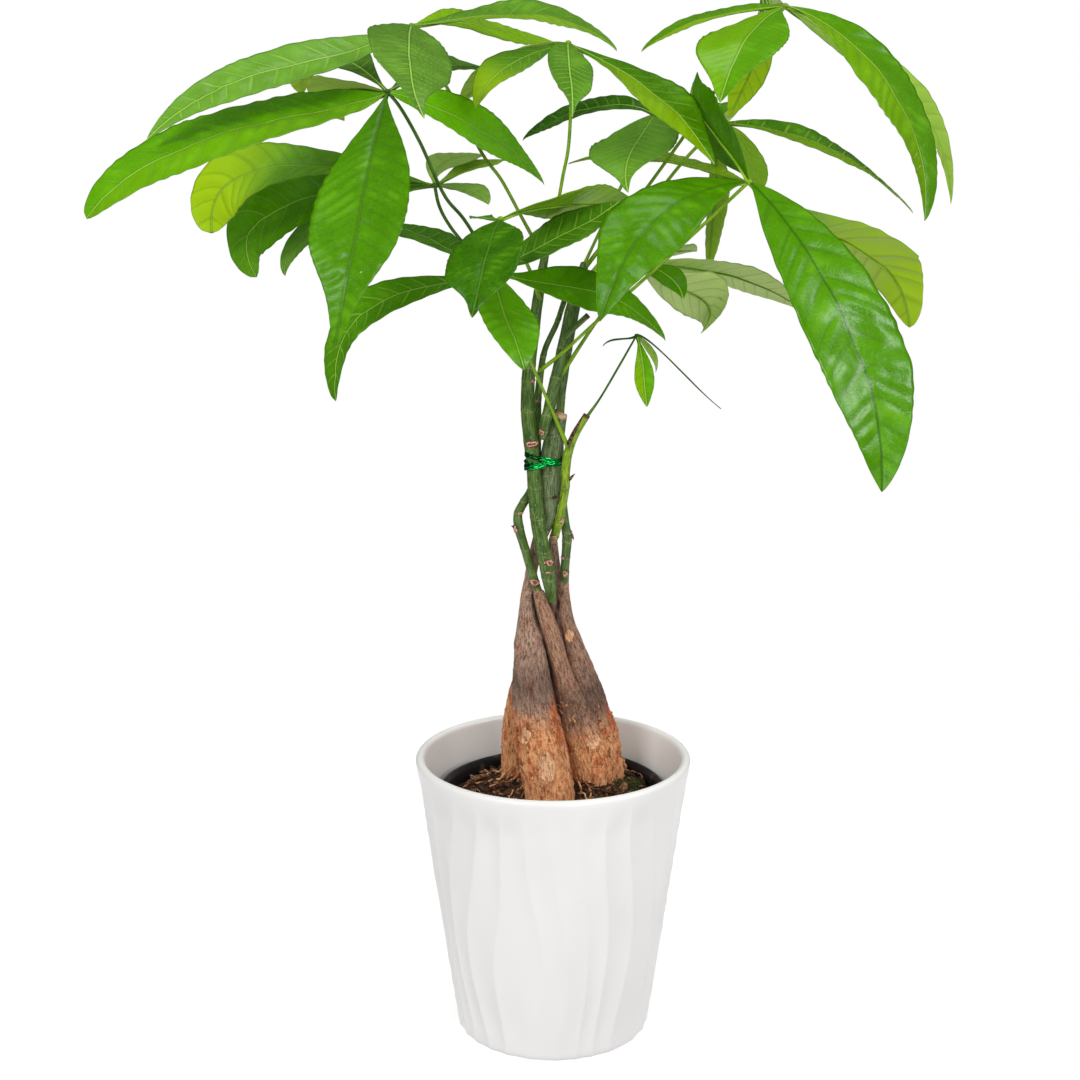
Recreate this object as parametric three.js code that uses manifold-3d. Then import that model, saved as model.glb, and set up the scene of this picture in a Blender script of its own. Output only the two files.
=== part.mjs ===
// Potted money tree: five braided trunks in a nursery pot inside a fluted ceramic cover pot.
// Millimetres, +Z up. The origin is the centre of the cover pot's base, and the plant's front is -Y.
// The nursery pot and all that grows in it are one group, which is set down into the cover pot.
import * as THREE from 'three';
import Module from 'manifold-3d';
import { mergeVertices } from 'three/addons/utils/BufferGeometryUtils.js';

const wasm = await Module();
wasm.setup();

// Driving dimensions
const GAP = 0.3;              // clearance between pieces that touch
const POT_HEIGHT = 132;
const POT_RIM_RADIUS = 63.5;
const POT_BASE_RADIUS = 44.8;
const POT_WALL = 4.2;
const POT_FLOOR = 5;
const POT_LIP = 2.1;          // radius of the rounded lip
const POT_FOOT = 1.5;         // size of the small rounded edge at the foot
const FLUTES = 28;            // hand-carved upright bands round the pot
const FLUTE_DEPTH = 0.9;
const NURSERY_RIM_RADIUS = 52;
const NURSERY_BASE_RADIUS = 37;
const NURSERY_HEIGHT = 111.2;
const NURSERY_WALL = 1.4;
const NURSERY_LIP = 1.6;      // how far the rolled rim stands out
const PLANT_LEVEL = -2;       // the nursery pot and its plant measure their heights from here
const SOIL_LEVEL = 113.5;     // at the nursery pot's wall
const SOIL_MOUND = 8;         // how far the soil rises round the trunks
const TRUNK_CENTRE = [4, 17]; // middle of the ring of trunks
const TRUNK_FOOT = 78;        // lowest point of the trunks, inside the soil
const TRUNK_SIDES = 10;
const STALK_FOOT = 2.6;       // width of a leaf's stalk where it leaves the stem
const STALK_WIDTH = 2;
const STALK_END = 1.8;        // and where it meets the hub
const HUB_RADIUS = 2;
const BLADE = 0.8;            // thickness of a leaflet
const BLADE_STEP = 24;        // length of a leaflet that takes one more row of triangles
const STALKLET = 1.5;         // breadth of a leaflet at its base
const WIDEST_AT = 0.6;        // how far along its rib a leaflet is widest
const BASE_TAPER = 1.35;      // over 1 draws the base of a leaflet into a wedge
const TIP_TAPER = 0.8;        // under 1 keeps the end of a leaflet full
const FOLD = 0.08;            // rise of a blade's edge, as a share of its half breadth
const WAVE = 0.05;            // height of the waves along its edge, as a share of its breadth
const TIE_WIRE = 0.9;         // radius of the twist tie's foil

const nurseryFloor = POT_FLOOR + GAP - PLANT_LEVEL;
const nurseryRim = nurseryFloor + NURSERY_HEIGHT;

const MATERIALS = {
  ceramic: { color: 0xf3f2ee, roughness: 0.25, metalness: 0 },
  black_plastic: { color: 0x141414, roughness: 0.45, metalness: 0 },
  soil: { color: 0x2a1a10, roughness: 0.95, metalness: 0 },
  bark: { color: 0x7a6450, roughness: 0.85, metalness: 0 },
  stem_green: { color: 0x4f7a2e, roughness: 0.6, metalness: 0 },
  shoot_green: { color: 0x8fae1e, roughness: 0.5, metalness: 0 },
  leaf_green: { color: 0x4d9410, roughness: 0.4, metalness: 0 },
  foil: { color: 0x0e8a3a, roughness: 0.25, metalness: 0.9 },
};

const pottedTree = new THREE.Group();
const plant = new THREE.Group();
plant.position.z = PLANT_LEVEL;
pottedTree.add(plant);

// Solids and meshes

function toSolid(geometry) {
  const plain = geometry.clone();
  plain.deleteAttribute('normal');
  plain.deleteAttribute('uv');
  const merged = mergeVertices(plain, 1e-4);
  return new wasm.Manifold(new wasm.Mesh({
    numProp: 3,
    vertProperties: new Float32Array(merged.attributes.position.array),
    triVerts: new Uint32Array(merged.index.array),
  }));
}

function addPiece(group, name, solid, material) {
  const { vertProperties, triVerts } = solid.getMesh();
  const geometry = new THREE.BufferGeometry();
  geometry.setAttribute('position', new THREE.BufferAttribute(new Float32Array(vertProperties), 3));
  geometry.setIndex(new THREE.BufferAttribute(new Uint32Array(triVerts), 1));
  geometry.computeVertexNormals();
  const mesh = new THREE.Mesh(geometry, new THREE.MeshStandardMaterial(MATERIALS[material]));
  mesh.name = name;
  group.add(mesh);
}

function joinAll(solids) {
  return solids.reduce((whole, next) => whole.add(next));
}

function cutBy(solid, cutters) {
  return cutters.reduce((left, cutter) => left.subtract(cutter), solid);
}

function largestOf(solid) {
  const bodies = solid.decompose();
  return bodies.reduce((best, body) => (body.volume() > best.volume() ? body : best));
}

// Moves every vertex of a geometry by a rule
function warp(geometry, rule) {
  const place = geometry.attributes.position;
  const point = new THREE.Vector3();
  for (let i = 0; i < place.count; i += 1) {
    point.fromBufferAttribute(place, i);
    rule(point);
    place.setXYZ(i, point.x, point.y, point.z);
  }
  return geometry;
}

// A lathe round Z, from a profile of [radius, height] pairs
function turned(profile, segments) {
  const points = profile.map(([radius, height]) => new THREE.Vector2(radius, height));
  return new THREE.LatheGeometry(points, segments).rotateX(Math.PI / 2);
}

// A limb is a round closed tube whose width changes along its route. A stop is [x, y, z, width].
function limb(stops, sides, steps, extra = 0) {
  const curve = new THREE.CatmullRomCurve3(stops.map(([x, y, z]) => new THREE.Vector3(x, y, z)));
  const frames = curve.computeFrenetFrames(steps, false);
  const tube = new THREE.CylinderGeometry(1, 1, 1, sides, steps);
  const widthAt = (along) => {
    const place = along * (stops.length - 1);
    const low = Math.min(Math.floor(place), stops.length - 2);
    return THREE.MathUtils.lerp(stops[low][3], stops[low + 1][3], place - low);
  };
  return warp(tube, (p) => {
    const along = 0.5 - p.y;
    const row = Math.round(along * steps);
    const radius = Math.hypot(p.x, p.z) * (widthAt(along) / 2 + extra);
    const angle = Math.atan2(p.z, p.x);
    const end = row === 0 ? -extra : row === steps ? extra : 0;
    const middle = curve.getPoint(along).addScaledVector(frames.tangents[row], end);
    p.copy(middle)
      .addScaledVector(frames.normals[row], radius * Math.cos(angle))
      .addScaledVector(frames.binormals[row], radius * Math.sin(angle));
  });
}

// Cover pot: a turned cup whose outer wall has upright flutes under a smooth lip

const potRadiusAt = (z) => THREE.MathUtils.lerp(POT_BASE_RADIUS, POT_RIM_RADIUS, z / POT_HEIGHT);
const fluteTop = POT_HEIGHT - 5;

function coverPot() {
  const wallHeights = [POT_FOOT, 9, 66, fluteTop - 3, fluteTop, POT_HEIGHT - POT_LIP];
  const outside = wallHeights.map((z) => [potRadiusAt(z), z]);
  const lipMiddle = potRadiusAt(POT_HEIGHT - POT_LIP) - POT_LIP;
  const lip = [45, 90, 135].map((degrees) => {
    const turn = THREE.MathUtils.degToRad(degrees);
    return [lipMiddle + POT_LIP * Math.cos(turn), POT_HEIGHT - POT_LIP + POT_LIP * Math.sin(turn)];
  });
  const inside = [POT_HEIGHT - POT_LIP, 60, POT_FLOOR + 4].map((z) => [potRadiusAt(z) - POT_WALL, z]);
  const floorEdge = potRadiusAt(POT_FLOOR) - POT_WALL - 4;
  const profile = [[0, 0], [POT_BASE_RADIUS - POT_FOOT, 0], ...outside, ...lip, ...inside];
  profile.push([floorEdge, POT_FLOOR], [0, POT_FLOOR]);
  const cup = turned(profile, FLUTES * 2);
  return warp(cup, (p) => {
    const radius = Math.hypot(p.x, p.y);
    const isWall = p.z > POT_FOOT + 1 && p.z < fluteTop - 1 && radius > potRadiusAt(p.z) - 1;
    if (radius < 1) {
      return;
    }
    const angle = Math.atan2(p.y, p.x);
    const slot = Math.round((angle / Math.PI) * FLUTES);
    const isHollow = isWall && slot % 2 !== 0;
    const hollow = isHollow ? FLUTE_DEPTH * (0.7 + 0.3 * Math.sin(3 * angle)) : 0;
    const drift = 0.022 * Math.sin(5 * angle + 1);
    p.x = (radius - hollow) * Math.cos(angle + drift);
    p.y = (radius - hollow) * Math.sin(angle + drift);
  });
}

// Nursery pot: a thin plastic cup with a rolled rim

function nurseryPot() {
  const top = nurseryRim;
  const profile = [
    [0, nurseryFloor],
    [NURSERY_BASE_RADIUS - 1, nurseryFloor],
    [NURSERY_BASE_RADIUS, nurseryFloor + 1],
    [NURSERY_RIM_RADIUS - NURSERY_LIP, top - 6],
    [NURSERY_RIM_RADIUS, top - 5],
    [NURSERY_RIM_RADIUS + 0.3, top - 1],
    [NURSERY_RIM_RADIUS - 0.6, top],
    [NURSERY_RIM_RADIUS - NURSERY_LIP - 0.6, top - 0.8],
    [NURSERY_RIM_RADIUS - NURSERY_LIP - NURSERY_WALL, top - 6],
    [NURSERY_BASE_RADIUS - NURSERY_WALL, nurseryFloor + NURSERY_WALL],
    [0, nurseryFloor + NURSERY_WALL],
  ];
  return turned(profile, 36);
}

// Soil: fills the nursery pot, with lumps and a mound round the trunks

function soilBody() {
  const inner = (z) => THREE.MathUtils.lerp(
    NURSERY_BASE_RADIUS - NURSERY_WALL,
    NURSERY_RIM_RADIUS - NURSERY_LIP - NURSERY_WALL,
    (z - nurseryFloor) / (NURSERY_HEIGHT - 6),
  ) - GAP - 0.2;
  const bottom = nurseryFloor + NURSERY_WALL + GAP;
  const topRadii = [42, 34, 26, 18, 10];
  const profile = [[0, bottom], [inner(bottom), bottom], [inner(SOIL_LEVEL - 4), SOIL_LEVEL - 4]];
  topRadii.forEach((radius) => profile.push([radius, SOIL_LEVEL]));
  profile.push([0, SOIL_LEVEL]);
  return warp(turned(profile, 32), (p) => {
    if (p.z < SOIL_LEVEL - 1) {
      return;
    }
    const away = Math.hypot(p.x - TRUNK_CENTRE[0], p.y - TRUNK_CENTRE[1]);
    const mound = SOIL_MOUND * Math.exp(-((away / 27) ** 2));
    const lumps = Math.sin(p.x * 0.9 + 1) * Math.cos(p.y * 0.8) + 0.6 * Math.sin(p.x * 0.4 - p.y * 1.3);
    p.z += mound + lumps * 0.8 - 0.6;
  });
}

// Trunks: stops from the foot in the soil up to the top, [x, y, z, width]

const TRUNKS = {
  trunk_front_left: [[-1, -9, TRUNK_FOOT, 18], [-1, -10, 100, 21.5], [-2.2, -8, 122, 22.5],
    [-5.5, -5, 140, 21.5], [-8.6, -3, 158, 19.2], [-10, -1, 174, 16.4], [-11, 1.2, 188, 13],
    [-11.5, 3.5, 202, 8.5], [-10.5, 4.5, 215, 5.6], [-8.7, 5, 225, 5.4], [-6.5, 4, 234, 6],
    [-3.8, 3, 241, 7]],
  trunk_front_right: [[17, 11, TRUNK_FOOT, 9], [16.5, 11, 100, 12], [15.5, 10, 122, 13.5],
    [13, 9, 133, 12.5], [9.3, 7, 146, 11], [5.5, 4.5, 163, 9.6], [1.8, 2.5, 180, 8.6],
    [-2.8, 1, 197, 7.8], [-6.5, 0.5, 210, 5.6]],
  trunk_back_right: [[24, 23, TRUNK_FOOT, 12], [24.4, 22, 100, 15.6], [24.4, 22, 118, 18],
    [23.2, 21, 131, 17.2], [20.4, 19, 143, 16], [17.2, 15.6, 156, 14.6], [13.4, 12, 170, 12],
    [10, 9, 182, 8.8], [6, 6, 197, 6.8], [4.5, 5, 211.5, 5.4]],
  trunk_back_left: [[-17, 22, TRUNK_FOOT, 9], [-17.2, 22, 100, 12], [-17.4, 22, 118, 13.5],
    [-17.8, 22, 135, 12], [-15.8, 19.5, 154, 10.6], [-12, 17, 170, 9.6], [-7.4, 14.5, 184, 8.2],
    [-2.8, 9.5, 196, 6.2], [-0.5, 3, 206, 4.4]],
  trunk_back: [[4, 34, TRUNK_FOOT, 10], [3.8, 34, 100, 13], [3.6, 34, 116, 14], [2.6, 33, 134, 12.4],
    [1.6, 28, 156, 11], [0.5, 22.5, 178, 10], [0.9, 17, 199, 8], [1.3, 12, 214, 5.2],
    [-0.1, 4, 233.5, 4.2]],
};

// Stems that grow from the trunks' tops, in the order in which they are seated

const STEMS = {
  stem_main: { tone: 'stem_green', sides: 8, stops: [[-0.7, 1.6, 207, 3.6], [-1.9, -3, 217.5, 5.4],
    [-3.5, -5, 227, 5.8], [-5.6, -6, 237, 5.6], [-7.3, -6, 248, 5.6], [-8.2, -6, 260, 5.6],
    [-9.1, -6, 273, 5.4], [-10, -6, 281, 5.6], [-11.2, -6, 293, 5.4], [-11.3, -6, 306, 5],
    [-10.4, -6, 318, 4.8], [-8.6, -6, 331, 4.4], [-6.9, -5, 344, 4], [-4.7, -4, 358, 3.2],
    [-3, -3, 366, 2.6]] },
  stem_cut: { tone: 'stem_green', sides: 8, stops: [[-3.6, 2.6, 241.8, 6.8], [-2, 0, 251, 7.5],
    [-1.3, -2, 263, 8.4], [-1, -3, 275, 8.6], [1, -4, 285, 7.5], [3.2, -5, 293.5, 5.2]] },
  stem_thin: { tone: 'stem_green', sides: 6, stops: [[-6.9, 0.4, 211, 4], [-10, -1, 221.6, 4],
    [-13.2, -3, 233.7, 4], [-15.4, -4, 241.7, 4.4], [-15.8, -3, 248, 4], [-13.2, 0, 252.5, 4],
    [-10.2, 2, 257, 4], [-8, 3.4, 265, 4], [-7.4, 3, 280, 4], [-7, 1, 298, 3.4],
    [-5.6, 1, 312, 3], [-3.8, 2, 321, 2.6], [1, 4.4, 331.5, 2.4], [4.1, 7, 340, 2.4],
    [8, 9.4, 352, 2.2]] },
  stem_shoot: { tone: 'shoot_green', sides: 6, stops: [[-0.2, 3.4, 234.2, 4], [1.4, 1.2, 240, 4],
    [3, -0.6, 245, 4.2], [4.4, -4, 254.3, 3.8], [5.4, -7, 263, 3.8], [5.4, -8.2, 269, 4],
    [6.2, -8.2, 276, 4], [9, -8, 284, 3.6], [14.6, -8, 293.5, 3.2]] },
  stem_back: { tone: 'stem_green', sides: 6, stops: [[4.9, 5, 212.3, 4.6], [5.3, 5, 222.4, 4],
    [6, 4.6, 231, 4.2], [6.2, 4.6, 236, 4.4], [5.3, 5.4, 242, 4], [4.2, 6, 250, 4],
    [3.2, 6.4, 262, 4], [2.6, 6, 280, 4], [3.4, 6, 298, 3.8], [6.6, 8.4, 320, 3.4],
    [10.6, 10.6, 340, 3], [14, 12, 356, 2.6]] },
  stem_leader: { tone: 'stem_green', sides: 6, stops: [[-4.6, -8.6, 283.5, 2.6], [-4, -9.4, 289.3, 4.2],
    [-2, -7.8, 296, 4.6], [-0.3, -5, 304, 4.6], [1.9, -3, 313, 4.4], [4.5, 0, 325.5, 4],
    [7.6, 3, 340.5, 3.4], [10.7, 5.4, 351, 2.8], [13, 7, 358, 2.4]] },
  stalk_stub: { tone: 'stem_green', sides: 6, stops: [[5, -2.6, 327.2, 2.4], [9.7, -4, 332, 2.4],
    [14.9, -5, 337, 2.6]] },
};

// Compound leaves. A leaflet's rib passes through three points after the hub: a third of the way,
// two thirds, and the tip. wide is its breadth in millimetres. roll turns the blade about its rib,
// in degrees, and twist turns it further towards the tip. widestAt is how far along it is widest.

const leaflet = (first, second, tip, wide, roll, twist = 0, widestAt = WIDEST_AT) => (
  { first, second, tip, wide, roll, twist, widestAt });

const LEAVES = {
  leaf_upper_left: {
    hub: [-70, -15, 432],
    stalk: [[-8, -6, 324], [-38, -11, 378], [-46, -14, 388], [-57, -16, 412], [-65, -16, 426]],
    leaflets: [
      leaflet([-100, -22, 424], [-149, -38, 411], [-191, -50, 382], 40, 32, 0, 0.5),
      leaflet([-75, -55, 402], [-80, -82, 370], [-87, -92, 334], 40, -10, 0, 0.48),
      leaflet([-52, -12, 426], [-25, 0, 412], [-4, 14, 392], 30, -25, 0, 0.5),
      leaflet([-88, 18, 444], [-99, 36, 444], [-110, 50, 441], 28, 20),
      leaflet([-85, 20, 433], [-98, 36, 431], [-94, 44, 419], 26, -25),
      leaflet([-54, 28, 441], [-38, 55, 443], [-22, 80, 438], 28, -10),
    ],
  },
  leaf_top_left: {
    hub: [-60, -5, 459],
    stalk: [[-3.4, -3, 360], [-14, -1, 379], [-23, 3, 395], [-30, 6, 404], [-43, 8, 428], [-49, 4, 439]],
    leaflets: [
      leaflet([-96, -12, 446], [-132, -25, 436], [-167, -40, 413], 28, 38, 0, 0.45),
      leaflet([-59, -40, 452], [-56, -75, 438], [-50, -95, 423], 34, 20, 0, 0.5),
      leaflet([-32, 5, 463], [-1, 14, 463], [27, 8, 449], 32, -15),
      leaflet([-40, 30, 461], [-19, 60, 457], [2, 88, 453], 30, -25),
      leaflet([-79, 32, 455], [-106, 66, 447], [-117, 84, 430], 24, 15, 0, 0.72),
    ],
  },
  leaf_top_centre: {
    hub: [6, 0, 452],
    stalk: [[-3, -3, 366], [0, -1, 377], [2, 0, 386], [4, 0, 397], [6, 0, 407], [7, 0, 421], [7, 0, 439]],
    leaflets: [
      leaflet([6, -20, 445], [7, -38, 434], [7, -45, 422], 20, 25, 0, 0.42),
      leaflet([-8, -5, 448], [-23, -12, 440], [-33, -18, 425], 24, 15),
      leaflet([29, -8, 440], [49, -22, 425], [66, -35, 403], 30, -20),
      leaflet([7, 22, 446], [8, 38, 438], [7, 46, 429], 16, 40),
      leaflet([-10, 12, 449], [-27, 18, 439], [-41, 24, 427], 24, -5),
    ],
  },
  leaf_centre_right: {
    hub: [44, 20, 422],
    stalk: [[12, 5.8, 355], [15, 9, 361], [28, 14, 388], [31, 15, 394], [38, 18, 409]],
    leaflets: [
      leaflet([26, 32, 426], [5, 44, 421], [-14, 52, 410], 24, 25),
      leaflet([37, 2, 413], [31, -14, 403], [31, -24, 391], 32, -20, 0, 0.42),
      leaflet([50, 55, 425], [56, 88, 422], [60, 108, 411], 32, -55),
    ],
  },
  leaf_top_right: {
    hub: [100, 20, 468],
    stalk: [[14, 12, 356], [38, 12, 387], [54, 13, 409], [77, 18, 441]],
    leaflets: [
      leaflet([81, 30, 466], [60, 38, 461], [39, 40, 449], 22, 20),
      leaflet([85, 0, 458], [75, -20, 445], [68, -32, 428], 27, 5, 0, 0.5),
      leaflet([94, 34, 457], [87, 40, 439], [78, 40, 420], 24, 15),
      leaflet([127, 12, 453], [152, 4, 421], [159, -8, 378], 36, -20),
      leaflet([133, 44, 450], [168, 62, 424], [186, 70, 380], 28, -60),
      leaflet([98, 62, 468], [96, 88, 459], [94, 98, 441], 28, 85),
    ],
  },
  leaf_right: {
    hub: [82, -20, 395],
    stalk: [[-6, 0, 312], [3, -6, 320], [19, -15, 336], [50, -22, 365]],
    leaflets: [
      leaflet([57, -40, 391], [35, -60, 376], [18, -74, 343], 40, 20),
      leaflet([101, -35, 373], [124, -58, 329], [133, -78, 274], 48, -25, 0, 0.64),
      leaflet([114, 0, 374], [145, 18, 357], [161, 26, 328], 40, 20, 0, 0.7),
      leaflet([64, 20, 399], [39, 46, 403], [7, 62, 399], 28, 0),
      leaflet([71, -14, 411], [61, -8, 424], [61, 0, 440], 28, -80),
    ],
  },
  leaf_back_right: {
    hub: [71, 30, 418],
    stalk: [[12, 11, 348], [38, 11, 379], [56, 8, 402], [66, 16, 412]],
    leaflets: [
      leaflet([99, 36, 415], [132, 46, 403], [166, 56, 377], 24, -20),
      leaflet([81, 22, 412], [87, 16, 400], [88, 12, 388], 22, 0),
      leaflet([73, 34, 397], [72, 34, 375], [70, 30, 354], 24, -35),
      leaflet([75, 58, 424], [80, 86, 425], [81, 104, 414], 28, 10),
    ],
  },
  leaf_front: {
    hub: [-24, -45, 360],
    stalk: [[6.4, -8, 279], [-2, -12, 299], [-11, -25, 322], [-23, -43, 354]],
    leaflets: [
      leaflet([-42, -30, 367], [-57, -10, 372], [-74, 12, 375], 30, 5),
      leaflet([-51, -45, 354], [-80, -48, 342], [-91, -52, 307], 23, 25),
      leaflet([-23, -72, 354], [-17, -96, 341], [-12, -106, 328], 26, 25, 0, 0.5),
      leaflet([0, -40, 354], [24, -36, 348], [47, -34, 330], 29, -30),
      leaflet([-10, -44, 368], [7, -40, 376], [27, -36, 388], 28, -30),
    ],
  },
  leaf_front_upper: {
    hub: [-22, -55, 382],
    stalk: [[-6, -6, 344], [-12, -25, 362], [-19, -44, 373]],
    leaflets: [
      leaflet([-26, -82, 374], [-29, -104, 362], [-32, -112, 349], 29, -10, 0, 0.45),
      leaflet([-4, -42, 386], [15, -24, 386], [33, -8, 387], 26, 25),
      leaflet([-28, -50, 382], [-31, -44, 382], [-35, -38, 381], 9, 5),
    ],
  },
  leaf_left: {
    hub: [-52, 10, 392],
    stalk: [[-9, -5, 331], [-32, 3, 359], [-45, 7, 374], [-50, 9, 383]],
    leaflets: [
      leaflet([-94, 18, 399], [-137, 32, 396], [-155, 40, 369], 35, 20, 70, 0.72),
      leaflet([-91, 30, 389], [-131, 46, 376], [-137, 52, 348], 38, 30, 60, 0.68),
      leaflet([-80, 22, 385], [-110, 34, 370], [-122, 38, 350], 20, 30, 40),
      leaflet([-50, 26, 400], [-41, 40, 403], [-31, 50, 403], 20, 10),
      leaflet([-43, 2, 392], [-34, -4, 390], [-28, -8, 385], 13, -15),
      leaflet([-41, 26, 397], [-31, 42, 400], [-21, 50, 401], 14, -5),
    ],
  },
  leaf_right_lower: {
    hub: [38, 5, 359],
    stalk: [[1, -4, 307], [19, 6, 333], [31, 5, 349]],
    leaflets: [
      leaflet([60, 14, 356], [85, 20, 350], [114, 24, 335], 26, 25),
      leaflet([52, 10, 349], [67, 12, 341], [65, 4, 328], 34, 25),
      leaflet([44, -3, 357], [51, -12, 353], [55, -20, 346], 12, -15),
      leaflet([48, 26, 361], [58, 40, 361], [66, 50, 360], 14, 25),
    ],
  },
  leaf_young: {
    hub: [36, -10, 329],
    stalk: [[14.8, -8, 293], [20, -6, 300], [29, -8, 316]],
    leaflets: [
      leaflet([38, -18, 319], [39, -22, 309], [40, -24, 300], 7, 15),
      leaflet([40, -4, 324], [44, -1, 318], [45, 2, 311], 5, -90),
      leaflet([46, -6, 322], [60, -2, 308], [74, 0, 295], 2.4, -60),
      leaflet([32, -14, 328], [26, -18, 328], [21, -22, 326], 2.4, 30),
    ],
  },
};

// The cubic through four points at 0, 1/3, 2/3 and 1 of the way
function ribPoint(points, t) {
  const weights = [
    -4.5 * (t - 1 / 3) * (t - 2 / 3) * (t - 1),
    13.5 * t * (t - 2 / 3) * (t - 1),
    -13.5 * t * (t - 1 / 3) * (t - 1),
    4.5 * t * (t - 1 / 3) * (t - 2 / 3),
  ];
  const place = new THREE.Vector3();
  points.forEach((point, i) => place.addScaledVector(point, weights[i]));
  return place;
}

// The blade's breadth along the rib, as a share of its widest: a wedge at the base, widest past the
// middle, and a full end with a short point
function breadthShare(t, widestAt) {
  const quarter = Math.PI / 2;
  if (t < widestAt) {
    return Math.sin(quarter * (t / widestAt)) ** BASE_TAPER;
  }
  return Math.max(0, Math.cos(quarter * ((t - widestAt) / (1 - widestAt)))) ** TIP_TAPER;
}

// A leaflet's blade: a thin folded sheet with the same triangles on both faces
function bladeGeometry(hub, { first, second, tip, wide, roll, twist, widestAt }, seed) {
  const points = [hub, first, second, tip].map(([x, y, z]) => new THREE.Vector3(x, y, z));
  const length = points[0].distanceTo(points[1]) + points[1].distanceTo(points[2])
    + points[2].distanceTo(points[3]);
  const rows = Math.round(3 + length / BLADE_STEP);
  const level = new THREE.Vector3();
  const vertices = [];
  for (let row = 0; row <= rows; row += 1) {
    const t = row / rows;
    const middle = ribPoint(points, t);
    const ahead = ribPoint(points, Math.min(1, t + 0.01)).sub(ribPoint(points, Math.max(0, t - 0.01)));
    ahead.normalize();
    if (row === 0) {
      level.crossVectors(ahead, new THREE.Vector3(0, 0, 1));
    }
    level.addScaledVector(ahead, -level.dot(ahead)).normalize();
    const upward = new THREE.Vector3().crossVectors(level, ahead);
    const turn = THREE.MathUtils.degToRad(roll + twist * t * t);
    const across = level.clone().multiplyScalar(Math.cos(turn)).addScaledVector(upward, Math.sin(turn));
    const normal = new THREE.Vector3().crossVectors(across, ahead);
    const share = breadthShare(t, widestAt);
    const half = Math.max(STALKLET / 2, (wide / 2) * share);
    for (const side of [-1, 0, 1]) {
      const wave = side * side * WAVE * wide * share * Math.sin(t * 9 + seed + side);
      const surface = middle.clone().addScaledVector(across, side * half);
      surface.addScaledVector(normal, side * side * half * FOLD + wave);
      vertices.push(surface.clone().addScaledVector(normal, BLADE / 2));
      vertices.push(surface.clone().addScaledVector(normal, -BLADE / 2));
    }
  }
  const corner = (row, column, face) => (row * 3 + column) * 2 + face;
  const triangles = [];
  const quad = (a, b, c, d) => triangles.push(a, b, c, a, c, d);
  for (let row = 0; row < rows; row += 1) {
    for (let column = 0; column < 2; column += 1) {
      const [a, b] = [[row, column], [row, column + 1]];
      const [d, c] = [[row + 1, column], [row + 1, column + 1]];
      quad(corner(...a, 0), corner(...b, 0), corner(...c, 0), corner(...d, 0));
      triangles.push(corner(...a, 1), corner(...c, 1), corner(...b, 1));
      triangles.push(corner(...a, 1), corner(...d, 1), corner(...c, 1));
    }
    quad(corner(row, 0, 1), corner(row, 0, 0), corner(row + 1, 0, 0), corner(row + 1, 0, 1));
    quad(corner(row, 2, 0), corner(row, 2, 1), corner(row + 1, 2, 1), corner(row + 1, 2, 0));
  }
  for (let column = 0; column < 2; column += 1) {
    const next = column + 1;
    quad(corner(0, column, 1), corner(0, next, 1), corner(0, next, 0), corner(0, column, 0));
    quad(corner(rows, column, 0), corner(rows, next, 0), corner(rows, next, 1), corner(rows, column, 1));
  }
  const places = vertices.flatMap((vertex) => vertex.toArray());
  const geometry = new THREE.BufferGeometry();
  geometry.setAttribute('position', new THREE.Float32BufferAttribute(places, 3));
  geometry.setIndex(triangles);
  return geometry;
}

// A compound leaf: its stalk, its hub and its leaflets in one body, seated clear of the stems
function compoundLeaf({ hub, stalk, leaflets }, cutters) {
  const last = stalk.length;
  const widths = [STALK_FOOT, ...stalk.slice(1).map(() => STALK_WIDTH), STALK_END];
  const stops = [...stalk, hub].map((point, i) => [...point, widths[i]]);
  const stem = cutBy(toSolid(limb(stops, 5, last + 3)), cutters);
  const knot = toSolid(new THREE.IcosahedronGeometry(HUB_RADIUS, 0).translate(...hub));
  const blades = leaflets.map((one, i) => toSolid(bladeGeometry(hub, one, i * 2.3)));
  return largestOf(joinAll([stem, knot, ...blades]));
}

// Twist tie: three crossing turns of foil wire, drawn close round the main stem and the cut stem

function twistTie() {
  const held = [{ x: -9.2, y: -6, radius: 2.9 }, { x: -1.2, y: -3, radius: 4.4 }];
  const away = TIE_WIRE + GAP;
  const turn = (low, high) => {
    const points = [];
    for (let i = 0; i < 12; i += 1) {
      const angle = (i / 12) * 2 * Math.PI;
      const [x, y] = [Math.cos(angle), Math.sin(angle)];
      const reach = (stem) => stem.x * x + stem.y * y + stem.radius;
      const outer = reach(held[0]) > reach(held[1]) ? held[0] : held[1];
      const height = THREE.MathUtils.lerp(low, high, 0.5 + 0.5 * x);
      points.push(new THREE.Vector3(
        outer.x + (outer.radius + away) * x,
        outer.y + (outer.radius + away) * y,
        height,
      ));
    }
    return new THREE.TubeGeometry(new THREE.CatmullRomCurve3(points, true), 14, TIE_WIRE, 4, true);
  };
  return joinAll([turn(277.5, 272.5), turn(272, 277), turn(270, 272.5)].map(toSolid));
}

// Assembly: each piece that comes later is cut clear of the ones before it

addPiece(pottedTree, 'cover_pot', toSolid(coverPot()), 'ceramic');
addPiece(plant, 'nursery_pot', toSolid(nurseryPot()), 'black_plastic');

const seats = [];
for (const [name, stops] of Object.entries(TRUNKS)) {
  const whole = toSolid(limb(stops, TRUNK_SIDES, stops.length + 5));
  addPiece(plant, name, largestOf(cutBy(whole, seats)), 'bark');
  seats.push(toSolid(limb(stops, TRUNK_SIDES, stops.length + 5, GAP)));
}
addPiece(plant, 'soil', largestOf(cutBy(toSolid(soilBody()), seats)), 'soil');

for (const [name, { tone, sides, stops }] of Object.entries(STEMS)) {
  const whole = toSolid(limb(stops, sides, stops.length + 3));
  addPiece(plant, name, largestOf(cutBy(whole, seats)), tone);
  seats.push(toSolid(limb(stops, sides, stops.length + 3, GAP)));
}

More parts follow.
